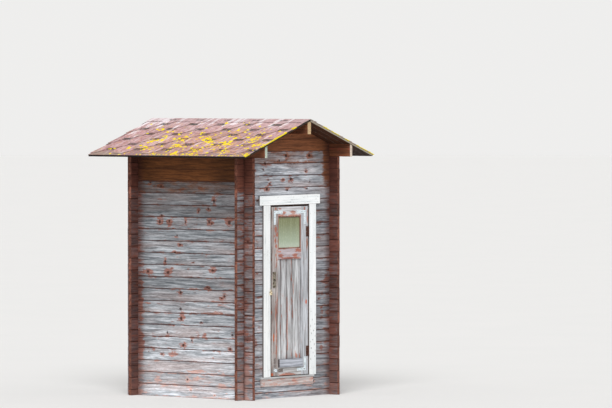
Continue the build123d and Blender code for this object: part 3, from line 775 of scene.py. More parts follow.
def tabMesh():
    # one tab, foot at y = 0 and head towards the ridge; z = 0 is its lower face at the foot
    half, flat, slant, tall = tabs["pitch"] / 2 - tabs["gap"], tabs["flat"] / 2, tabs["slant"], tabs["height"]
    side = tabs["side"]
    wideRow = (-half, -side, -flat / 2, flat / 2, side, half)
    rows = [(0.0, (-flat, -flat / 3, flat / 3, flat)),
            (-slant / 2, (-(flat + side) / 2, -flat / 2, flat / 2, (flat + side) / 2)),
            (-slant, wideRow), (-tabs["shoulder"], wideRow), (-tall, wideRow)]
    bm = bmesh.new()
    for level in (tabs["thickness"], 0.0):
        grid = [[bm.verts.new((u, q, level)) for u in line] for q, line in rows]
        for upper, lower in zip(grid, grid[1:]):
            inner = lower[1:-1] if len(lower) > len(upper) else lower
            for a, b, c, d in zip(upper, upper[1:], inner, inner[1:]):
                bm.faces.new((a, b, d, c))
    closeRim(bm)
    return toMesh(bm, "tabPattern")


def trim(mesh, axis, low, high):
    # cuts a mesh of closed shells off at two planes and closes the cuts
    bm = bmesh.new()
    bm.from_mesh(mesh)
    for level, sign in ((low, -1), (high, 1)):
        rim = cutAt(bm, axis, level, sign, clear_outer=True)
        edges = [item for item in rim if isinstance(item, bmesh.types.BMEdge) and item.is_boundary]
        bmesh.ops.holes_fill(bm, edges=edges, sides=0)
    bm.to_mesh(mesh)
    bm.free()


def shingleTree():
    tree, given = geometryTree("shingleTabs", {
        "Tab": "Object", "Columns": "Int", "Rows": "Int", "Tab pitch": "Float", "Course": "Float",
        "First foot": "Float", "Phase": "Float", "Skew": "Float", "Foot height": "Float", "Tilt": "Float",
        "Jitter": "Float", "Curl": "Float", "Seed": "Int", "Finish": "Material",
    })
    count = mul(given["Columns"], given["Rows"])
    points = addNode("GeometryNodeMeshLine", {"Count": count, "Offset": (0.0, 0.0, 0.0)})
    index = addNode("GeometryNodeInputIndex").outputs[0]
    row = calc("FLOOR", calc("DIVIDE", index, given["Columns"]))
    column = sub(index, mul(row, given["Columns"]))
    half = mul(calc("MODULO", row, 2.0), 0.5)
    steps = sub(add(column, half), calc("FLOOR", calc("DIVIDE", given["Columns"], 2.0)))
    shakeX, shakeY, _ = split3(randomValue("FLOAT_VECTOR", (-1, -1, 0), (1, 1, 0), given["Seed"]))
    along = madd(row, given["Skew"], madd(steps, given["Tab pitch"], given["Phase"]))
    along = madd(shakeX, mul(given["Jitter"], 0.12), along)
    down = madd(shakeY, given["Jitter"], madd(row, given["Course"], given["First foot"]))
    spots = addNode("GeometryNodeSetPosition", {
        "Geometry": points.outputs[0], "Position": join3(along, down, given["Foot height"]),
    })
    toned = addNode("GeometryNodeStoreNamedAttribute", {
        "Geometry": spots.outputs[0], "Name": "tabTone",
        "Value": randomValue("FLOAT", 0.0, 1.0, add(given["Seed"], 5)),
    }, data_type="FLOAT", domain="POINT")
    pattern = addNode("GeometryNodeObjectInfo", {"Object": given["Tab"]})
    marked = addNode("GeometryNodeStoreNamedAttribute", {
        "Geometry": pattern.outputs["Geometry"], "Name": "tabPlace",
        "Value": addNode("GeometryNodeInputPosition").outputs[0],
    }, data_type="FLOAT_VECTOR", domain="POINT")
    laid = addNode("GeometryNodeInstanceOnPoints", {
        "Points": toned.outputs[0], "Instance": marked.outputs[0], "Rotation": join3(given["Tilt"], 0.0, 0.0),
    })
    real = addNode("GeometryNodeRealizeInstances", {0: laid.outputs[0]})
    # the feet lift a little, each by its own amount
    local = addNode("GeometryNodeInputNamedAttribute", {"Name": "tabPlace"}, data_type="FLOAT_VECTOR").outputs[0]
    share = addNode("GeometryNodeInputNamedAttribute", {"Name": "tabTone"}, data_type="FLOAT").outputs[0]
    u, q, _ = split3(local)
    lift = mul(mul(fade(q, -0.11, 0.0), fade(absOf(u), 0.0, 0.1, 0.4, 1.0)), mul(share, given["Curl"]))
    where = split3(addNode("GeometryNodeInputPosition").outputs[0])
    ease = fade(where[1], 0.13, 0.0, 0.0, -0.0030, smooth=False)
    lifted = addNode("GeometryNodeSetPosition", {
        "Geometry": real.outputs[0], "Offset": join3(0.0, 0.0, add(lift, ease)),
    })
    closeTree(lifted.outputs[0], given["Finish"])
    return tree


feltLook = dict(
    base=(199, 162, 163), deep=(166, 120, 118), pale=(230, 210, 213), band=(54, 62, 58), bare=(245, 234, 238),
    moss=(158, 152, 128), orange=(232, 178, 84), rim=(112, 98, 96), edge=(186, 178, 166), eave=(30, 25, 24),
    lichen=(236, 212, 40), darkEdge=(72, 62, 56),
)
# worn pale streaks: (along the eave, down the slope, half width, half length)
bareStreaks = [
    (1.10, 0.10, 0.24, 0.24), (0.98, 0.06, 0.20, 0.16), (1.00, 0.22, 0.03, 0.20), (0.86, 0.20, 0.03, 0.22),
    (0.70, 0.14, 0.03, 0.10),
    (0.33, 0.12, 0.05, 0.12), (0.20, 0.12, 0.03, 0.16), (-0.15, 0.12, 0.07, 0.14), (-0.02, 0.14, 0.04, 0.16),
    (-0.50, 0.14, 0.05, 0.14), (-0.70, 0.18, 0.03, 0.14), (-0.86, 0.22, 0.02, 0.20), (0.60, 0.34, 0.02, 0.16),
    (1.08, 0.45, 0.04, 0.16), (0.95, 0.62, 0.03, 0.14),
]
# where lichen grows thickly, and single patches of it, written as the streaks are
lichenField = [(-0.20, 0.78, 0.95, 0.42)]
# yellow lengths of the rakes at the front, down the slope: (middle, side, half length, reach)
rakeField = [(0.64, -1.0, 0.21, 0.9), (0.28, -1.0, 0.03, 0.9), (1.12, -1.0, 0.05, 0.9), (0.28, 1.0, 0.05, 0.9),
             (0.45, 1.0, 0.07, 0.9), (0.93, 1.0, 0.09, 0.9), (1.11, 1.0, 0.05, 0.9), (0.66, 1.0, 0.04, 0.9)]
lichenSpots = [
    (0.58, 0.41, 0.08, 0.05), (-0.41, 0.39, 0.09, 0.05), (0.0, 1.10, 0.10, 0.04), (-0.97, 1.08, 0.10, 0.05),
    (0.77, 0.35, 0.05, 0.03), (0.61, 0.72, 0.07, 0.06), (0.49, 0.93, 0.08, 0.05), (0.75, 0.94, 0.05, 0.04),
    (0.21, 0.65, 0.08, 0.06), (-0.09, 0.61, 0.09, 0.04), (-0.25, 0.73, 0.08, 0.05), (-0.43, 0.85, 0.10, 0.04),
    (-0.26, 0.98, 0.09, 0.05), (-0.56, 0.78, 0.07, 0.05), (-0.80, 0.60, 0.07, 0.05), (-0.70, 1.02, 0.09, 0.04),
    (0.30, 1.08, 0.08, 0.03), (0.66, 1.09, 0.05, 0.03), (-0.30, 1.09, 0.12, 0.03), (-0.98, 0.80, 0.06, 0.06),
    (0.10, 0.86, 0.07, 0.04),
]


def feltBase(y, run, z, tone, streak):
    # grit, dapples and washed streaks shared by the tabs and the ridge cap
    tones = palette(feltLook)
    place = join3(y, run, z)
    grit = grain(place, (420.0, 420.0, 0.0), 1.0, 0.5)
    dapple = grain(place, (26.0, 18.0, 0.0), 4.0, 0.66)
    wash = grain(place, (20.0, 2.2, 0.0), 4.0, 0.66)
    felt = mix(fade(dapple, 0.38, 0.60), tones["deep"], tones["base"])
    felt = mix(mul(fade(wash, 0.50, 0.66), 0.75), felt, tones["pale"])
    felt = dim(felt, mul(fade(grit, 0.3, 0.7, 0.86, 1.14), fade(tone, 0.0, 1.0, 0.92, 1.08)))
    felt = mix(fade(run, 0.45, 0.12, 0.0, 0.26), felt, tones["pale"])
    bare = madd(sub(wash, 0.5), 3.4, streak)
    felt = mix(fade(bare, 0.72, 1.05, 0.0, 0.88), felt, tones["bare"])
    return felt, tones, grit, dapple, place


def shingleFinish():
    finish, x, y, z = newFinish("wornFelt", 0.93, gloss=0.2)
    run = calc("DIVIDE", absOf(x), math.cos(shed["pitch"]))
    u, q, _ = split3(attribute("tabPlace", "Vector"))
    tone = attribute("tabTone")
    up, sideU = mul(q, -1.0), absOf(u)
    reach = nearestMark(y, run, bareStreaks, frayField(y, run, 30.0, 0.05))
    felt, tones, grit, dapple, place = feltBase(y, run, z, tone, fade(reach, 1.5, 0.3, 0.0, 1.15))

    # dark band between the tabs, and a worn edge along the foot and the slanted sides
    band = mul(fade(up, 0.112, 0.118), fade(sideU, 0.122, 0.136))
    worn = grain(place, (9.0, 9.0, 0.0), 3.0, 0.6)
    patchy = mul(fade(dapple, 0.36, 0.50, 0.3, 1.0), fade(worn, 0.36, 0.5, 0.5, 1.0))
    band = mul(mul(band, fade(up, 0.156, 0.148)), patchy)
    felt = mix(mul(band, 0.95), felt, tones["band"])
    slantGap = sub(madd(up, 0.92 / 1.1, tabs["flat"] / 2), sideU)
    rim = mul(fade(least(up, slantGap), 0.006, 0.001), fade(up, 0.112, 0.105))
    felt = mix(mul(rim, mul(fade(dapple, 0.4, 0.6), 0.5)), felt, tones["rim"])

    # thin orange stain around the crusts, moss by the eave, weathered cut edges along the rakes, and a painted shadow
    # on the edges that look down the slope
    crust = grain(place, (24.0, 24.0, 0.0), 4.0, 0.66)
    spots = fade(nearestMark(y, run, lichenSpots), 1.8, 0.6)
    field = fade(nearestMark(y, run, lichenField), 1.05, 0.7)
    speck = fade(madd(field, 0.06, madd(spots, 0.10, crust)), 0.585, 0.655)
    felt = mix(mul(speck, 0.54), felt, tones["orange"])
    mossy = fade(madd(fade(run, 0.98, 1.14), 0.10, grain(place, (5.0, 5.0, 0.0), 3.0, 0.6)), 0.56, 0.70)
    felt = mix(mul(mossy, 0.4), felt, tones["moss"])
    normalX, normalY, _ = facing()
    leftRight = calc("SIGN", x)
    clump = madd(sub(grain(place, (4.0, 30.0, 0.0), 3.0, 0.6), 0.5), 1.6, nearestMark(run, leftRight, rakeField))
    clump = mul(fade(clump, 1.15, 0.9), fade(y, -1.06, -1.07))
    rake = mix(clump, mix(fade(x, -0.01, 0.01), tones["darkEdge"], tones["edge"]), tones["lichen"])
    onRake = most(fade(absOf(normalY), 0.6, 0.8), mul(clump, fade(y, -1.070, -1.080)))
    felt = mix(onRake, felt, rake)
    # painted shadow: the tab feet and the eave edge, which look down the slope, are near black, the dark felt edge
    # with a painted shadow
    felt = mix(fade(absOf(normalX), 0.7, 0.85, 0.0, 0.9), felt, tones["eave"])
    wire(finish, felt, madd(grit, 0.5, mul(dapple, 0.8)), 0.0012)
    return finish


def starterMesh(side):
    # the strip along the eave and the plain layer under all the tabs; it stops short at the back
    start, stop = onSlope(side)
    short = tabs["starterShort"]
    start, stop = (start, stop - short) if side < 0 else (start + short, stop)
    # its section, as run down the slope and height over it
    line = [(-0.008, 0.018), (1.144, 0.018), (1.144, 0.0250), (1.078, 0.0234), (0.900, 0.0188), (-0.008, 0.0188)]
    bm = bmesh.new()
    ends = [[bm.verts.new((u, r, h)) for r, h in line] for u in (start, stop)]
    for a, b in zip(range(len(line)), [*range(1, len(line)), 0]):
        bm.faces.new((ends[0][a], ends[0][b], ends[1][b], ends[1][a]))
    bm.faces.new(ends[0])
    bm.faces.new(ends[1])
    return toMesh(bm, "starter")


feltFinish = shingleFinish()
tabPattern = addObject("tabPattern", tabMesh())
shingles = shingleTree()
tabSheets = {}
for side, name in ((-1, "left"), (1, "right")):
    sheet = grow(shingles, name + "ShingleTabs", {
        "Tab": tabPattern, "Columns": tabs["columns"], "Rows": tabs["rows"], "Tab pitch": tabs["pitch"],
        "Course": tabs["course"], "First foot": tabs["firstFoot"], "Skew": -side * tabs["skew"],
        "Phase": tabs["phase"] if side < 0 else -tabs["phase"] - tabs["pitch"] / 2,
        "Foot height": tabs["foot"] - tabs["thickness"], "Tilt": math.atan(tabs["thickness"] / tabs["course"]),
        "Jitter": tabs["jitter"], "Curl": tabs["curl"], "Seed": tabs["seed"] + side, "Finish": feltFinish,
    })
    trim(sheet, 0, *onSlope(side))
    trim(sheet, 1, -0.004, 1.2)
    # at the back each course is cut a little aslant
    back = -side * shed["roofBack"]
    for v, spot in zip(sheet.vertices, sheet.attributes["tabPlace"].data):
        if abs(v.co.x - back) < 1e-4:
            v.co.x -= side * tabs["lean"] * spot.vector.y
    whole = joined(name + "Felt", sheet, starterMesh(side))
    tabSheets[side] = whole.copy()
    whole.transform(slopeFrame(side))
    keep(name + "ShingleTabs", whole, "shed", "shingle", feltFinish, name + "_shingles")
print("shingles ready")


# Ridge cap: short folded pieces, each lapped over the last.

ridgeCap = dict(cover=0.200, lap=0.03, reach=0.110, rise=(0.0215, 0.0262), thickness=0.0022, lift=0.0010, count=12,
                folds=(-0.110, -0.055, -0.012, 0.0, 0.012, 0.055, 0.110), sink=0.0012, dashStart=2.170)


def capPattern():
    bm = bmesh.new()
    c, s = math.cos(shed["pitch"]), math.sin(shed["pitch"])
    atRidge, atEdge = ridgeCap["rise"]
    long = ridgeCap["cover"] + ridgeCap["lap"]
    for skin in (ridgeCap["thickness"], 0.0):
        rows = []
        for share in (0.0, 0.5, 1.0):
            line = []
            for run in ridgeCap["folds"]:
                reach, side = abs(run), 1 if run >= 0 else -1
                h = atRidge + (atEdge - atRidge) * reach / ridgeCap["reach"] + skin + ridgeCap["lift"] * (1 - share)
                if run:
                    spot = (side * (reach * c + h * s), share * long, shed["ridge"] - reach * s + h * c)
                else:
                    spot = (0, share * long, shed["ridge"] + h / c - ridgeCap["sink"])
                line.append(bm.verts.new(spot))
            rows.append(line)
        for front, back in zip(rows, rows[1:]):
            for a, b, e, f in zip(front, front[1:], back, back[1:]):
                bm.faces.new((a, b, f, e))
    closeRim(bm)
    return toMesh(bm, "capPattern")


def capFinish():
    finish, x, y, z = newFinish("wornFeltCap", 0.93, gloss=0.2)
    tone = attribute("tabTone")
    reach = nearestMark(y, absOf(x), [(u, 0.0, w * 1.5, 0.5) for u, r, w, _ in bareStreaks if r < 0.25])
    streak = mul(fade(reach, 1.4, 0.4), fade(y, 0.85, 1.0, 0.90, 1.05))
    felt, tones, grit, dapple, _ = feltBase(y, absOf(x), z, tone, streak)
    turn = calc("FRACT", calc("DIVIDE", add(y, ridgeCap["dashStart"]), tabs["pitch"]))
    low = mul(fade(absOf(x), 0.035, 0.05), fade(absOf(x), 0.085, 0.075))
    dash = mul(fade(absOf(sub(turn, 0.5)), 0.14, 0.11), low)
    felt = mix(mul(dash, fade(dapple, 0.40, 0.52, 0.0, 0.8)), felt, tones["band"])
    normalX, normalY, _ = facing()
    # painted highlight: the cap's lip faces, which look down the slope, are painted pale; the rest of the cap is a
    # little darker
    felt = mix(fade(absOf(normalX), 0.6, 0.8, 0.0, 0.7), dim(felt, 0.90), tones["pale"])
    felt = mix(fade(absOf(normalY), 0.6, 0.8), felt, tones["edge"])
    wire(finish, felt, madd(grit, 0.5, dapple), 0.0010)
    return finish


capTone = capFinish()
capPiece = addObject("capPattern", capPattern())
capPlaces = [(0, ridgeCap["cover"] * number - shed["roofFront"], 0) for number in range(ridgeCap["count"])]
capSheet = setPieces("ridgeCapPieces", capPiece, capPlaces, capTone, seed=8)
trim(capSheet, 1, -shed["roofFront"], shed["roofBack"])
keep("ridgeCapPieces", capSheet, "shed", "shingle", capTone, "ridge_cap")
print("ridge cap ready")


# Lichen crusts scattered over the felt.

lichen = dict(seed=13, density=900.0, smallest=0.5, largest=2.0, thickness=0.0022, radius=0.014, byEave=34)


def crustMesh():
    rng = random.Random(3)
    bm = bmesh.new()
    rim = []
    for step in range(9):
        angle = step / 9 * math.tau
        reach = lichen["radius"] * rng.uniform(0.65, 1.15)
        rim.append(Vector((reach * math.cos(angle), 0.8 * reach * math.sin(angle), 0)))
    top = bm.verts.new((0, 0, lichen["thickness"]))
    ringHigh = [bm.verts.new((p.x * 0.7, p.y * 0.7, lichen["thickness"] * rng.uniform(0.7, 1.0))) for p in rim]
    ringLow = [bm.verts.new((p.x, p.y, -0.002)) for p in rim]
    for a in range(9):
        b = (a + 1) % 9
        bm.faces.new((top, ringHigh[a], ringHigh[b]))
        bm.faces.new((ringHigh[a], ringLow[a], ringLow[b], ringHigh[b]))
    bm.faces.new(list(reversed(ringLow)))
    return toMesh(bm, "crustPattern")


def lichenFinish():
    finish, x, y, z = newFinish("yellowLichen", 0.95, gloss=0.1)
    place = join3(y, x, z)
    spread = grain(place, (30.0, 30.0, 20.0), 3.0, 0.6)
    dust = grain(place, (500.0, 500.0, 300.0), 2.0, 0.6)
    tone = mix(fade(spread, 0.34, 0.44), rgb(236, 186, 50), rgb(248, 226, 28))
    tone = mix(fade(spread, 0.62, 0.74), tone, rgb(222, 214, 110))
    wire(finish, dim(tone, fade(dust, 0.3, 0.7, 0.85, 1.1)), dust, 0.0008)
    return finish


def lichenTree():
    tree, given = geometryTree("lichenScatter", {
        "Felt": "Object", "Crust": "Object", "Length": "Float", "Run": "Float", "Shift": "Float", "Side": "Float",
        "Density": "Float", "Smallest": "Float", "Largest": "Float", "Seed": "Int", "Finish": "Material",
    })
    sheet = addNode("GeometryNodeMeshGrid", {"Size X": given["Length"], "Size Y": given["Run"],
                                             "Vertices X": 2, "Vertices Y": 2})
    moved = addNode("GeometryNodeTransform", {
        "Geometry": sheet.outputs[0], "Translation": join3(given["Shift"], madd(given["Run"], 0.5, 0.11), 0.06),
    })
    scatter = addNode("GeometryNodeDistributePointsOnFaces", {
        "Mesh": moved.outputs[0], "Distance Min": 0.012, "Density Max": given["Density"], "Seed": given["Seed"],
    }, distribute_method="POISSON")
    where = addNode("GeometryNodeInputPosition").outputs[0]
    u, r, _ = split3(where)
    y = mul(u, mul(given["Side"], -1.0))
    clump = addNode("ShaderNodeTexNoise", {"Vector": where, "Scale": 11.0, "Detail": 3.0}).outputs["Fac"]
    likely = madd(fade(nearestMark(y, r, lichenField), 1.05, 0.75), 0.06, clump)
    likely = madd(fade(nearestMark(y, r, lichenSpots), 1.7, 0.6), 0.17, likely)
    likely = add(likely, randomValue("FLOAT", -0.06, 0.06, add(given["Seed"], 2)))
    thinned = addNode("GeometryNodeSeparateGeometry", {
        "Geometry": scatter.outputs["Points"], "Selection": calc("GREATER_THAN", likely, 0.650),
    }, domain="POINT")
    felt = addNode("GeometryNodeObjectInfo", {"Object": given["Felt"]})
    down = addNode("GeometryNodeRaycast", {
        "Target Geometry": felt.outputs["Geometry"], "Ray Direction": (0.0, 0.0, -1.0), "Ray Length": 0.2,
    })
    struck = addNode("GeometryNodeSeparateGeometry", {
        "Geometry": thinned.outputs[0], "Selection": down.outputs["Is Hit"],
    }, domain="POINT")
    seated = addNode("GeometryNodeSetPosition", {
        "Geometry": struck.outputs[0], "Position": down.outputs["Hit Position"],
    })
    turn = join3(0.0, 0.0, randomValue("FLOAT", -0.5, 0.5, add(given["Seed"], 3)))
    size = randomValue("FLOAT", given["Smallest"], given["Largest"], add(given["Seed"], 4))
    crust = addNode("GeometryNodeObjectInfo", {"Object": given["Crust"]})
    grown = addNode("GeometryNodeInstanceOnPoints", {
        "Points": seated.outputs[0], "Instance": crust.outputs["Geometry"], "Rotation": turn, "Scale": size,
    })
    closeTree(grown.outputs[0], given["Finish"])
    return tree


crustTone = lichenFinish()
crustPattern = addObject("crustPattern", crustMesh())
lichenScatter = lichenTree()
rakeCrusts = {-1: (1.12, 1.09, 0.85, 0.83, 0.60, 0.58, 0.55, 0.43, 0.41, 0.30, 0.28),
              1: (1.12, 1.10, 0.98, 0.96, 0.875, 0.86, 0.65, 0.63, 0.50, 0.41, 0.28)}
for side, name in ((-1, "left"), (1, "right")):
    target = addObject(name + "FeltTarget", tabSheets[side])
    start, stop = onSlope(side)
    crusts = grow(lichenScatter, name + "Lichen", {
        "Felt": target, "Crust": crustPattern, "Length": stop - start - 0.06, "Run": 1.00,
        "Shift": (start + stop) / 2, "Side": float(side), "Density": lichen["density"],
        "Smallest": lichen["smallest"], "Largest": lichen["largest"], "Seed": lichen["seed"] + side,
        "Finish": crustTone,
    })
    # a few more along the roof's front edge and the eave
    edge = start + 0.018 if side < 0 else stop - 0.018
    rng = random.Random(lichen["seed"] + side)
    spots = [(edge, run, 0.0268) for run in rakeCrusts[side]]
    spots += [(rng.uniform(-1.0, 0.75) * -side, rng.uniform(1.118, 1.126), 0.0252) for _ in range(lichen["byEave"])]
    more = setPieces("edgeCrusts", crustPattern, spots, crustTone, turn=(0, 0, 1), smallest=0.7, largest=1.05,
                     seed=lichen["seed"])
    crusts = joined(name + "Lichen", crusts, more)
    crusts.transform(slopeFrame(side))
    keep(name + "Lichen", crusts, "shed", "shingle", crustTone)
    bpy.data.objects.remove(target)
    print(name, "lichen", len(crusts.polygons))
for helper in (crustPattern, capPiece, tabPattern):
    bpy.data.objects.remove(helper)


# Floor, sleepers, threshold and door frame.

floorBoards = dict(count=16, gap=0.0018)
low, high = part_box("floor_boards")
floorCover = (high.y - low.y) / floorBoards["count"]
floorLook = dict(
    seed=14, boards=(low.y, floorCover), dark=(120, 100, 80), light=(158, 136, 112), level=0.66, paint=(104, 82, 66),
    paintPale=(130, 110, 90),
)
boardsFinish = boardFinish("roughFloorBoards", "xyz", floorLook)
mesh = grow(boardRow, "floorBoards", {
    "Count": floorBoards["count"], "Cover": floorCover, "Finish": boardsFinish,
    "Board": (floorCover - floorBoards["gap"], high.x - low.x, high.z - low.z),
})
mesh.transform(Matrix.Translation((0, high.y - floorCover / 2, (low.z + high.z) / 2))
               @ Matrix.Rotation(-math.pi / 2, 4, "Z"))
keep("floorBoards", mesh, "shed", "floor_wood", boardsFinish, "floor_boards")

sleeperFinish = boardFinish("roughSleepers", "yxz", dict(floorLook, seed=15, boards=(-2.0, 4.0)))
for node in ("left_sleeper", "middle_sleeper", "right_sleeper"):
    coat(nodes[node].data, sleeperFinish)

sillLook = dict(
    seed=22, dark=(168, 150, 146), light=(214, 206, 204), level=0.50, paint=(176, 112, 98),
    paintPale=(212, 172, 160), patch=(9.0, 30.0), fray=0.03,
)
thresholdLook = dict(sillLook, seed=23, dark=(178, 178, 178), light=(220, 222, 224), level=0.62)
dressBoard("wornThreshold", "threshold", "shed", "sill_wood", boardFinish("wornThreshold", "xyz", thresholdLook), 0)
dressBoard("wornSillBoard", "sill_board", "shed", "sill_wood", boardFinish("wornSillBoard", "xzy", sillLook), 0,
           width=0.002, ripple=0.0015)

frameLook = dict(
    seed=25, dark=(50, 34, 30), light=(78, 54, 47), level=0.56, paint=(62, 36, 30), paintPale=(92, 60, 50),
)
jambFinish = boardFinish("darkJambs", "zxy", frameLook)
dressBoard("leftJambPost", "left_jamb", "shed", "frame_wood", jambFinish, 2)
dressBoard("rightJambPost", "right_jamb", "shed", "frame_wood", jambFinish, 2)
dressBoard("headJambBoard", "head_jamb", "shed", "frame_wood", boardFinish("darkHeadJamb", "xzy", frameLook), 0)


# White casing.

# the casing's side faces and ends are painted dark grey-brown: painted shade along its edges, in the tone of bare
# wood
casingLook = dict(
    dark=(236, 241, 243), light=(249, 251, 252), level=0.66, soft=0.03, paint=(150, 152, 150),
    paintPale=(186, 190, 190), fine=0.02, crack=0.014, crackTone=0.8, crackColor=(150, 157, 160),
    cover=0.7, filmLift=-0.3, depth=0.0010,
    bands=40.0, gloss=0.35, patch=(12.0, 60.0), fray=0.012, side=(92, 82, 78),
)
rightSpecks = [
    (0.40, 0.352, 0.014, 0.005), (0.43, 0.421, 0.007, 0.006), (0.47, 0.392, 0.011, 0.004),
    (0.49, 0.428, 0.013, 0.004), (0.52, 0.360, 0.008, 0.008), (0.56, 0.412, 0.015, 0.005),
    (0.59, 0.347, 0.012, 0.004), (0.61, 0.385, 0.007, 0.006), (0.65, 0.426, 0.010, 0.005),
    (0.68, 0.364, 0.013, 0.004), (0.71, 0.402, 0.009, 0.007), (0.76, 0.350, 0.016, 0.004),
    (0.78, 0.421, 0.008, 0.006), (0.83, 0.377, 0.012, 0.004), (0.88, 0.427, 0.015, 0.004),
    (0.92, 0.358, 0.007, 0.005), (1.02, 0.425, 0.009, 0.004), (1.31, 0.425, 0.007, 0.005),
]
casingPlan = [
    ("left_casing", "zxy", 2, dict(seed=41, dark=(243, 247, 248), light=(253, 254, 254), level=0.68)),
    ("right_casing", "zxy", 2, dict(seed=42, stains=[((146, 150, 150), rightSpecks)], ramp=(0.60, 1.05, 0.945, 1.0))),
    ("head_casing", "xzy", 0, dict(seed=43)),
]
for node, lies, axis, extra in casingPlan:
    name = camel(node) + "Board"
    dressBoard(name, node, "shed", "white_casing", boardFinish(name, lies, dict(casingLook, **extra), 0.6),
               axis, width=0.002, ripple=0.0008)
print("frame and casing ready")


# Door leaf.

leafLook = dict(
    dark=(134, 128, 127), light=(206, 207, 209), level=0.62, paint=(142, 70, 52), paintPale=(198, 130, 106),
    patch=(6.0, 34.0), cover=0.85, bands=70.0, run=3.0, fine=0.16,
)
leafPlan = [
    ("left_stile", "zxy", 2, dict(
        seed=51, dark=(124, 112, 108), light=(200, 194, 192), level=0.60, edge=(-0.300, -0.183, 0.010, 0.07),
        patch=(14.0, 60.0), speck=0.34,
        marks=[(1.815, -0.225, 0.035, 0.022), (1.765, -0.205, 0.028, 0.024), (1.755, -0.245, 0.018, 0.010),
               (1.700, -0.228, 0.030, 0.020), (1.690, -0.196, 0.020, 0.010), (1.640, -0.212, 0.024, 0.022),
               (1.585, -0.200, 0.030, 0.014), (1.545, -0.222, 0.018, 0.012), (1.500, -0.204, 0.022, 0.012),
               (1.445, -0.212, 0.030, 0.010), (1.02, -0.205, 0.13, 0.010),
               (0.92, -0.225, 0.10, 0.008), (0.70, -0.215, 0.16, 0.008), (0.52, -0.215, 0.09, 0.012),
               (2.045, -0.225, 0.012, 0.02)],
        stains=[((190, 96, 56), [(0.655, -0.258, 0.05, 0.014), (0.256, -0.292, 0.02, 0.03)]),
                # painted shade: a dark line down the left edge of the leaf
                ((66, 48, 42), [(1.15, -0.300, 1.2, 0.005)])])),
    ("right_stile", "zxy", 2, dict(
        seed=52, dark=(150, 150, 154), light=(212, 216, 222), edge=(0.10, 0.320, 0.012, 0.14),
        marks=[(2.03, 0.26, 0.03, 0.02), (1.95, 0.305, 0.10, 0.010), (1.66, 0.300, 0.07, 0.012)],
        stains=[((204, 92, 54), [(1.026, 0.285, 0.027, 0.014)]), ((150, 92, 56), [(1.67, 0.300, 0.06, 0.008)]),
                # painted shade: a dark line down the right edge of the leaf
                ((78, 58, 52), [(1.15, 0.3185, 1.2, 0.006)])])),
    ("top_rail", "xzy", 0, dict(
        seed=53, dark=(176, 172, 174), light=(226, 226, 230), edge=(1.965, 2.2, 0.012, 0.14),
        marks=[(-0.085, 1.995, 0.038, 0.020), (0.065, 1.998, 0.055, 0.024), (-0.15, 2.045, 0.025, 0.010),
               (0.0, 1.975, 0.18, 0.010)])),
    ("mid_rail", "xzy", 0, dict(
        seed=54, dark=(156, 144, 147), light=(192, 182, 187), level=0.585, edge=(1.497, 1.611, 0.016, 0.12),
        marks=[(0.155, 1.588, 0.075, 0.018), (-0.14, 1.535, 0.035, 0.026), (0.10, 1.532, 0.035, 0.020),
               (-0.16, 1.58, 0.03, 0.012), (0.02, 1.512, 0.18, 0.008)])),
    ("bottom_rail", "xzy", 0, dict(
        seed=55, dark=(150, 145, 143), light=(212, 212, 213), edge=(0.240, 0.6, 0.022, 0.16),
        marks=[(-0.05, 0.250, 0.16, 0.014)])),
    ("kick_board", "xzy", 0, dict(
        seed=56, dark=(138, 142, 152), light=(194, 198, 208), level=0.76, crackTone=0.7, cuts=(0.328, 0.4215),
        # painted shade: a dark line at the kick board's left end
        seams=0.005, stains=[((70, 60, 58), [(-0.186, 0.375, 0.005, 0.06)])])),
    ("door_panel", "zxy", 2, dict(
        seed=57, cuts=(-0.183, -0.124, -0.030, 0.064, 0.203), seams=0.0075, seamPaint=0.10,
        dark=(136, 133, 134), light=(212, 214, 217), level=0.63, ramp=(0.45, 0.75, 1.26, 1.0),
        marks=[(1.094, -0.087, 0.045, 0.007), (0.65, -0.078, 0.055, 0.008), (0.58, -0.008, 0.075, 0.009),
               (0.89, 0.072, 0.04, 0.007), (0.94, 0.127, 0.03, 0.018), (0.45, 0.14, 0.028, 0.024),
               (0.43, 0.19, 0.045, 0.012), (0.80, -0.015, 0.30, 0.006), (1.20, 0.085, 0.10, 0.006)])),
    ("front_bead", "zxy", 2, dict(
        seed=58, dark=(96, 66, 56), light=(150, 116, 104), level=0.52)),
    ("back_bead", "zxy", 2, dict(seed=59, dark=(96, 66, 56), light=(150, 116, 104), level=0.52)),
]
for node, lies, axis, extra in leafPlan:
    name = camel(node) + "Wood"
    panel = node == "door_panel"
    dressBoard(name, node, "door", "door_wood", boardFinish(name, lies, dict(leafLook, **extra)), axis,
               width=0.0 if panel else 0.0014, ripple=0.0006 if panel else 0.0008)
print("door leaf ready")


# Glass.

glassLook = dict(
    high=(132, 137, 98), low=(178, 192, 170), streak=(190, 198, 158), foot=(214, 222, 208), topRim=(84, 74, 56),
    rightRim=(52, 50, 42),
)
tones = palette(glassLook)
glassFinish, x, y, z = newFinish("dustyGlass", 0.18, gloss=0.5)
place = join3(z, x, y)
streak = grain(place, (1.2, 34.0, 0.0), 3.0, 0.6)
dust = grain(place, (40.0, 60.0, 0.0), 4.0, 0.6)
# dust with painted reflection: olive, darker towards the top and pale towards the foot; a painted shadow under the
# top rail and painted shade by the right bead
tone = mix(fade(z, 1.62, 1.94), tones["low"], tones["high"])
tone = mix(fade(streak, 0.42, 0.62, 0.0, 0.15), tone, tones["streak"])
tone = mix(fade(z, 1.70, 1.615, 0.0, 0.45), tone, tones["foot"])
tone = mix(fade(madd(sub(dust, 0.5), 0.05, z), 1.935, 1.958), tone, tones["topRim"])
tone = mix(fade(x, 0.184, 0.191, 0.0, 0.8), tone, tones["rightRim"])
wire(glassFinish, dim(tone, fade(dust, 0.3, 0.7, 0.96, 1.03)), streak, 0.0002, fade(dust, 0.3, 0.7, 0.14, 0.30))
glassFinish.node_tree.nodes["Principled BSDF"].inputs["Alpha"].default_value = 0.86
coat(nodes["door_glass"].data, glassFinish)


# Ironwork.

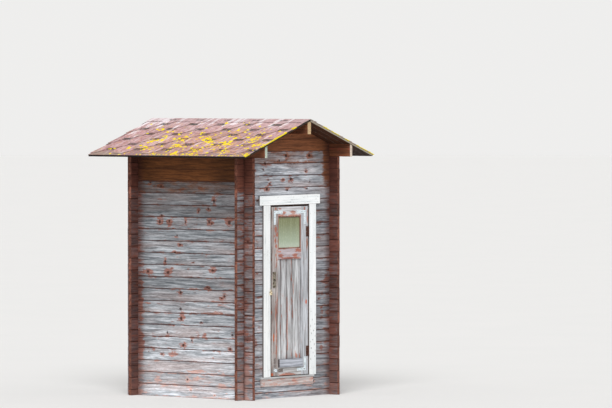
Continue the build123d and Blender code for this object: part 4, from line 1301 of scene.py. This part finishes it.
def ironFinish(name, clean, pale, rust, level, metal, rough, marks=None):
    finish, x, y, z = newFinish(name, rough, metal, 0.4)
    place = join3(x, z, y)
    mottled = grain(place, (70.0, 70.0, 50.0), 4.0, 0.65)
    dust = grain(place, (600.0, 600.0, 400.0), 2.0, 0.6)
    pits = grain(place, (160.0, 160.0, 90.0), 3.0, 0.7)
    tone = mix(fade(mottled, 0.38, 0.62), rgb(*clean), rgb(*pale))
    film = pits
    if marks:
        reach = nearestMark(x, z, marks, frayField(x, z, 120.0, 0.01))
        film = madd(fade(reach, 1.3, 0.6), 0.34, pits)
    film = fade(film, level, level + 0.08)
    tone = dim(mix(mul(film, 0.9), tone, rgb(*rust)), fade(dust, 0.3, 0.7, 0.88, 1.1))
    wire(finish, tone, madd(pits, 0.8, mul(dust, 0.3)), 0.0006, fade(film, 0.0, 1.0, rough, 0.9))
    return finish


zincFinish = ironFinish("dullZinc", (208, 224, 232), (240, 247, 251), (98, 76, 66), 0.68, 0.1, 0.5, marks=[
    (-0.20, 2.03, 0.008, 0.008), (-0.242, 0.385, 0.040, 0.080), (-0.145, 0.298, 0.070, 0.040),
    (-0.250, 0.280, 0.012, 0.014), (0.25, 0.298, 0.012, 0.006), (0.262, 0.35, 0.004, 0.02),
])
rustFinish = ironFinish("rustyHinge", (74, 42, 34), (98, 60, 46), (52, 32, 28), 0.5, 0.1, 0.85)
lockFinish = ironFinish("dullLockPlate", (118, 108, 90), (164, 158, 142), (50, 38, 32), 0.52, 0.2, 0.55, marks=[
    (-0.270, 1.355, 0.008, 0.010), (-0.240, 1.335, 0.006, 0.012), (-0.248, 1.275, 0.016, 0.014),
    (-0.262, 1.245, 0.008, 0.012), (-0.255, 1.205, 0.012, 0.010),
])
brassFinish = ironFinish("tarnishedBrass", (206, 184, 142), (240, 228, 200), (110, 78, 50), 0.62, 0.2, 0.45,
                         marks=[(-0.318, 1.132, 0.007, 0.008), (-0.338, 1.146, 0.005, 0.006)])
stapleFinish = ironFinish("dullStaple", (150, 146, 138), (182, 178, 170), (94, 70, 54), 0.55, 0.5, 0.5)
for node, body, slot, finish, width in (
    ("corner_irons", "door", "zinc_iron", zincFinish, 0.0005),
    ("lock_plate", "door", "zinc_iron", lockFinish, 0.0006),
    ("upper_hinge_leaf", "door", "rusty_iron", rustFinish, 0.0004),
    ("lower_hinge_leaf", "door", "rusty_iron", rustFinish, 0.0004),
    ("upper_hinge_frame", "shed", "rusty_iron", rustFinish, 0.0004),
    ("lower_hinge_frame", "shed", "rusty_iron", rustFinish, 0.0004),
    ("padlock", "shed", "brass", brassFinish, 0.0012), ("staple", "shed", "zinc_iron", stapleFinish, 0.0),
):
    mesh = toMesh(merged(node), node)
    keep(camel(node) + "Metal", softened(mesh, width) if width else mesh, body, slot, finish, node)
print("ironwork ready")


# Screws and nails.

def screwMesh():
    # a countersunk head, barely proud of its plate
    bm = bmesh.new()
    ring = [Vector((math.cos(a * math.tau / 14), 0, math.sin(a * math.tau / 14))) for a in range(14)]
    rim, crown, inner = ([bm.verts.new(p * radius + Vector((0, lift, 0))) for p in ring]
                         for radius, lift in ((0.0042, 0), (0.0034, -0.0007), (0.0016, -0.0002)))
    for a in range(14):
        b = (a + 1) % 14
        bm.faces.new((rim[a], rim[b], crown[b], crown[a]))
        bm.faces.new((crown[a], crown[b], inner[b], inner[a]))
    bm.faces.new(inner)
    bm.faces.new(list(reversed(rim)))
    return toMesh(bm, "screwPattern")


fixings = dict(ironFace=-0.7950, lockFace=-0.7955, casingFace=-0.8025, armSteps=(0.0, 0.052, 0.118))
irons = []
for x, sideX in ((-0.258, 1), (0.278, -1)):
    for z, up in ((0.282, 1), (2.024, -1)):
        cx, cz = x + sideX * 0.016, z + up * 0.016
        for step in fixings["armSteps"]:
            irons.append((cx + sideX * step, fixings["ironFace"], cz))
            if step:
                irons.append((cx, fixings["ironFace"], cz + up * step))
for node in ("upper_hinge_leaf", "lower_hinge_leaf"):
    low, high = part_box(node)
    irons += [(low.x + 0.012, fixings["ironFace"], low.z + share * (high.z - low.z)) for share in (0.14, 0.5, 0.86)]
low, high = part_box("lock_plate")
irons += [((low.x + high.x) / 2, fixings["lockFace"], z) for z in (low.z + 0.012, high.z - 0.012)]
nails = [(x, fixings["casingFace"], z) for x in (-0.46, -0.20, 0.06, 0.30, 0.47) for z in (2.112, 2.168)]
for node in ("left_casing", "right_casing"):
    low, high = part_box(node)
    nails += [(low.x + inset, fixings["casingFace"], z + 0.01 * (inset > 0.05))
              for z in (0.30, 0.72, 1.14, 1.56, 1.98) for inset in (0.022, 0.093)]
screwFinish = ironFinish("darkScrews", (112, 104, 98), (150, 142, 134), (84, 60, 48), 0.5, 0.3, 0.6)
nailFinish = ironFinish("casingNails", (186, 186, 182), (214, 214, 210), (124, 100, 80), 0.55, 0.2, 0.6)
screwPattern = addObject("screwPattern", screwMesh())
keep("ironScrews", setPieces("ironScrews", screwPattern, irons, screwFinish, turn=(0, 1, 0)), "door", "rusty_iron",
     screwFinish)
keep("casingNailHeads", setPieces("casingNailHeads", screwPattern, nails, nailFinish, turn=(0, 1, 0)), "shed",
     "rusty_iron", nailFinish)
bpy.data.objects.remove(screwPattern)
print("fixings ready")
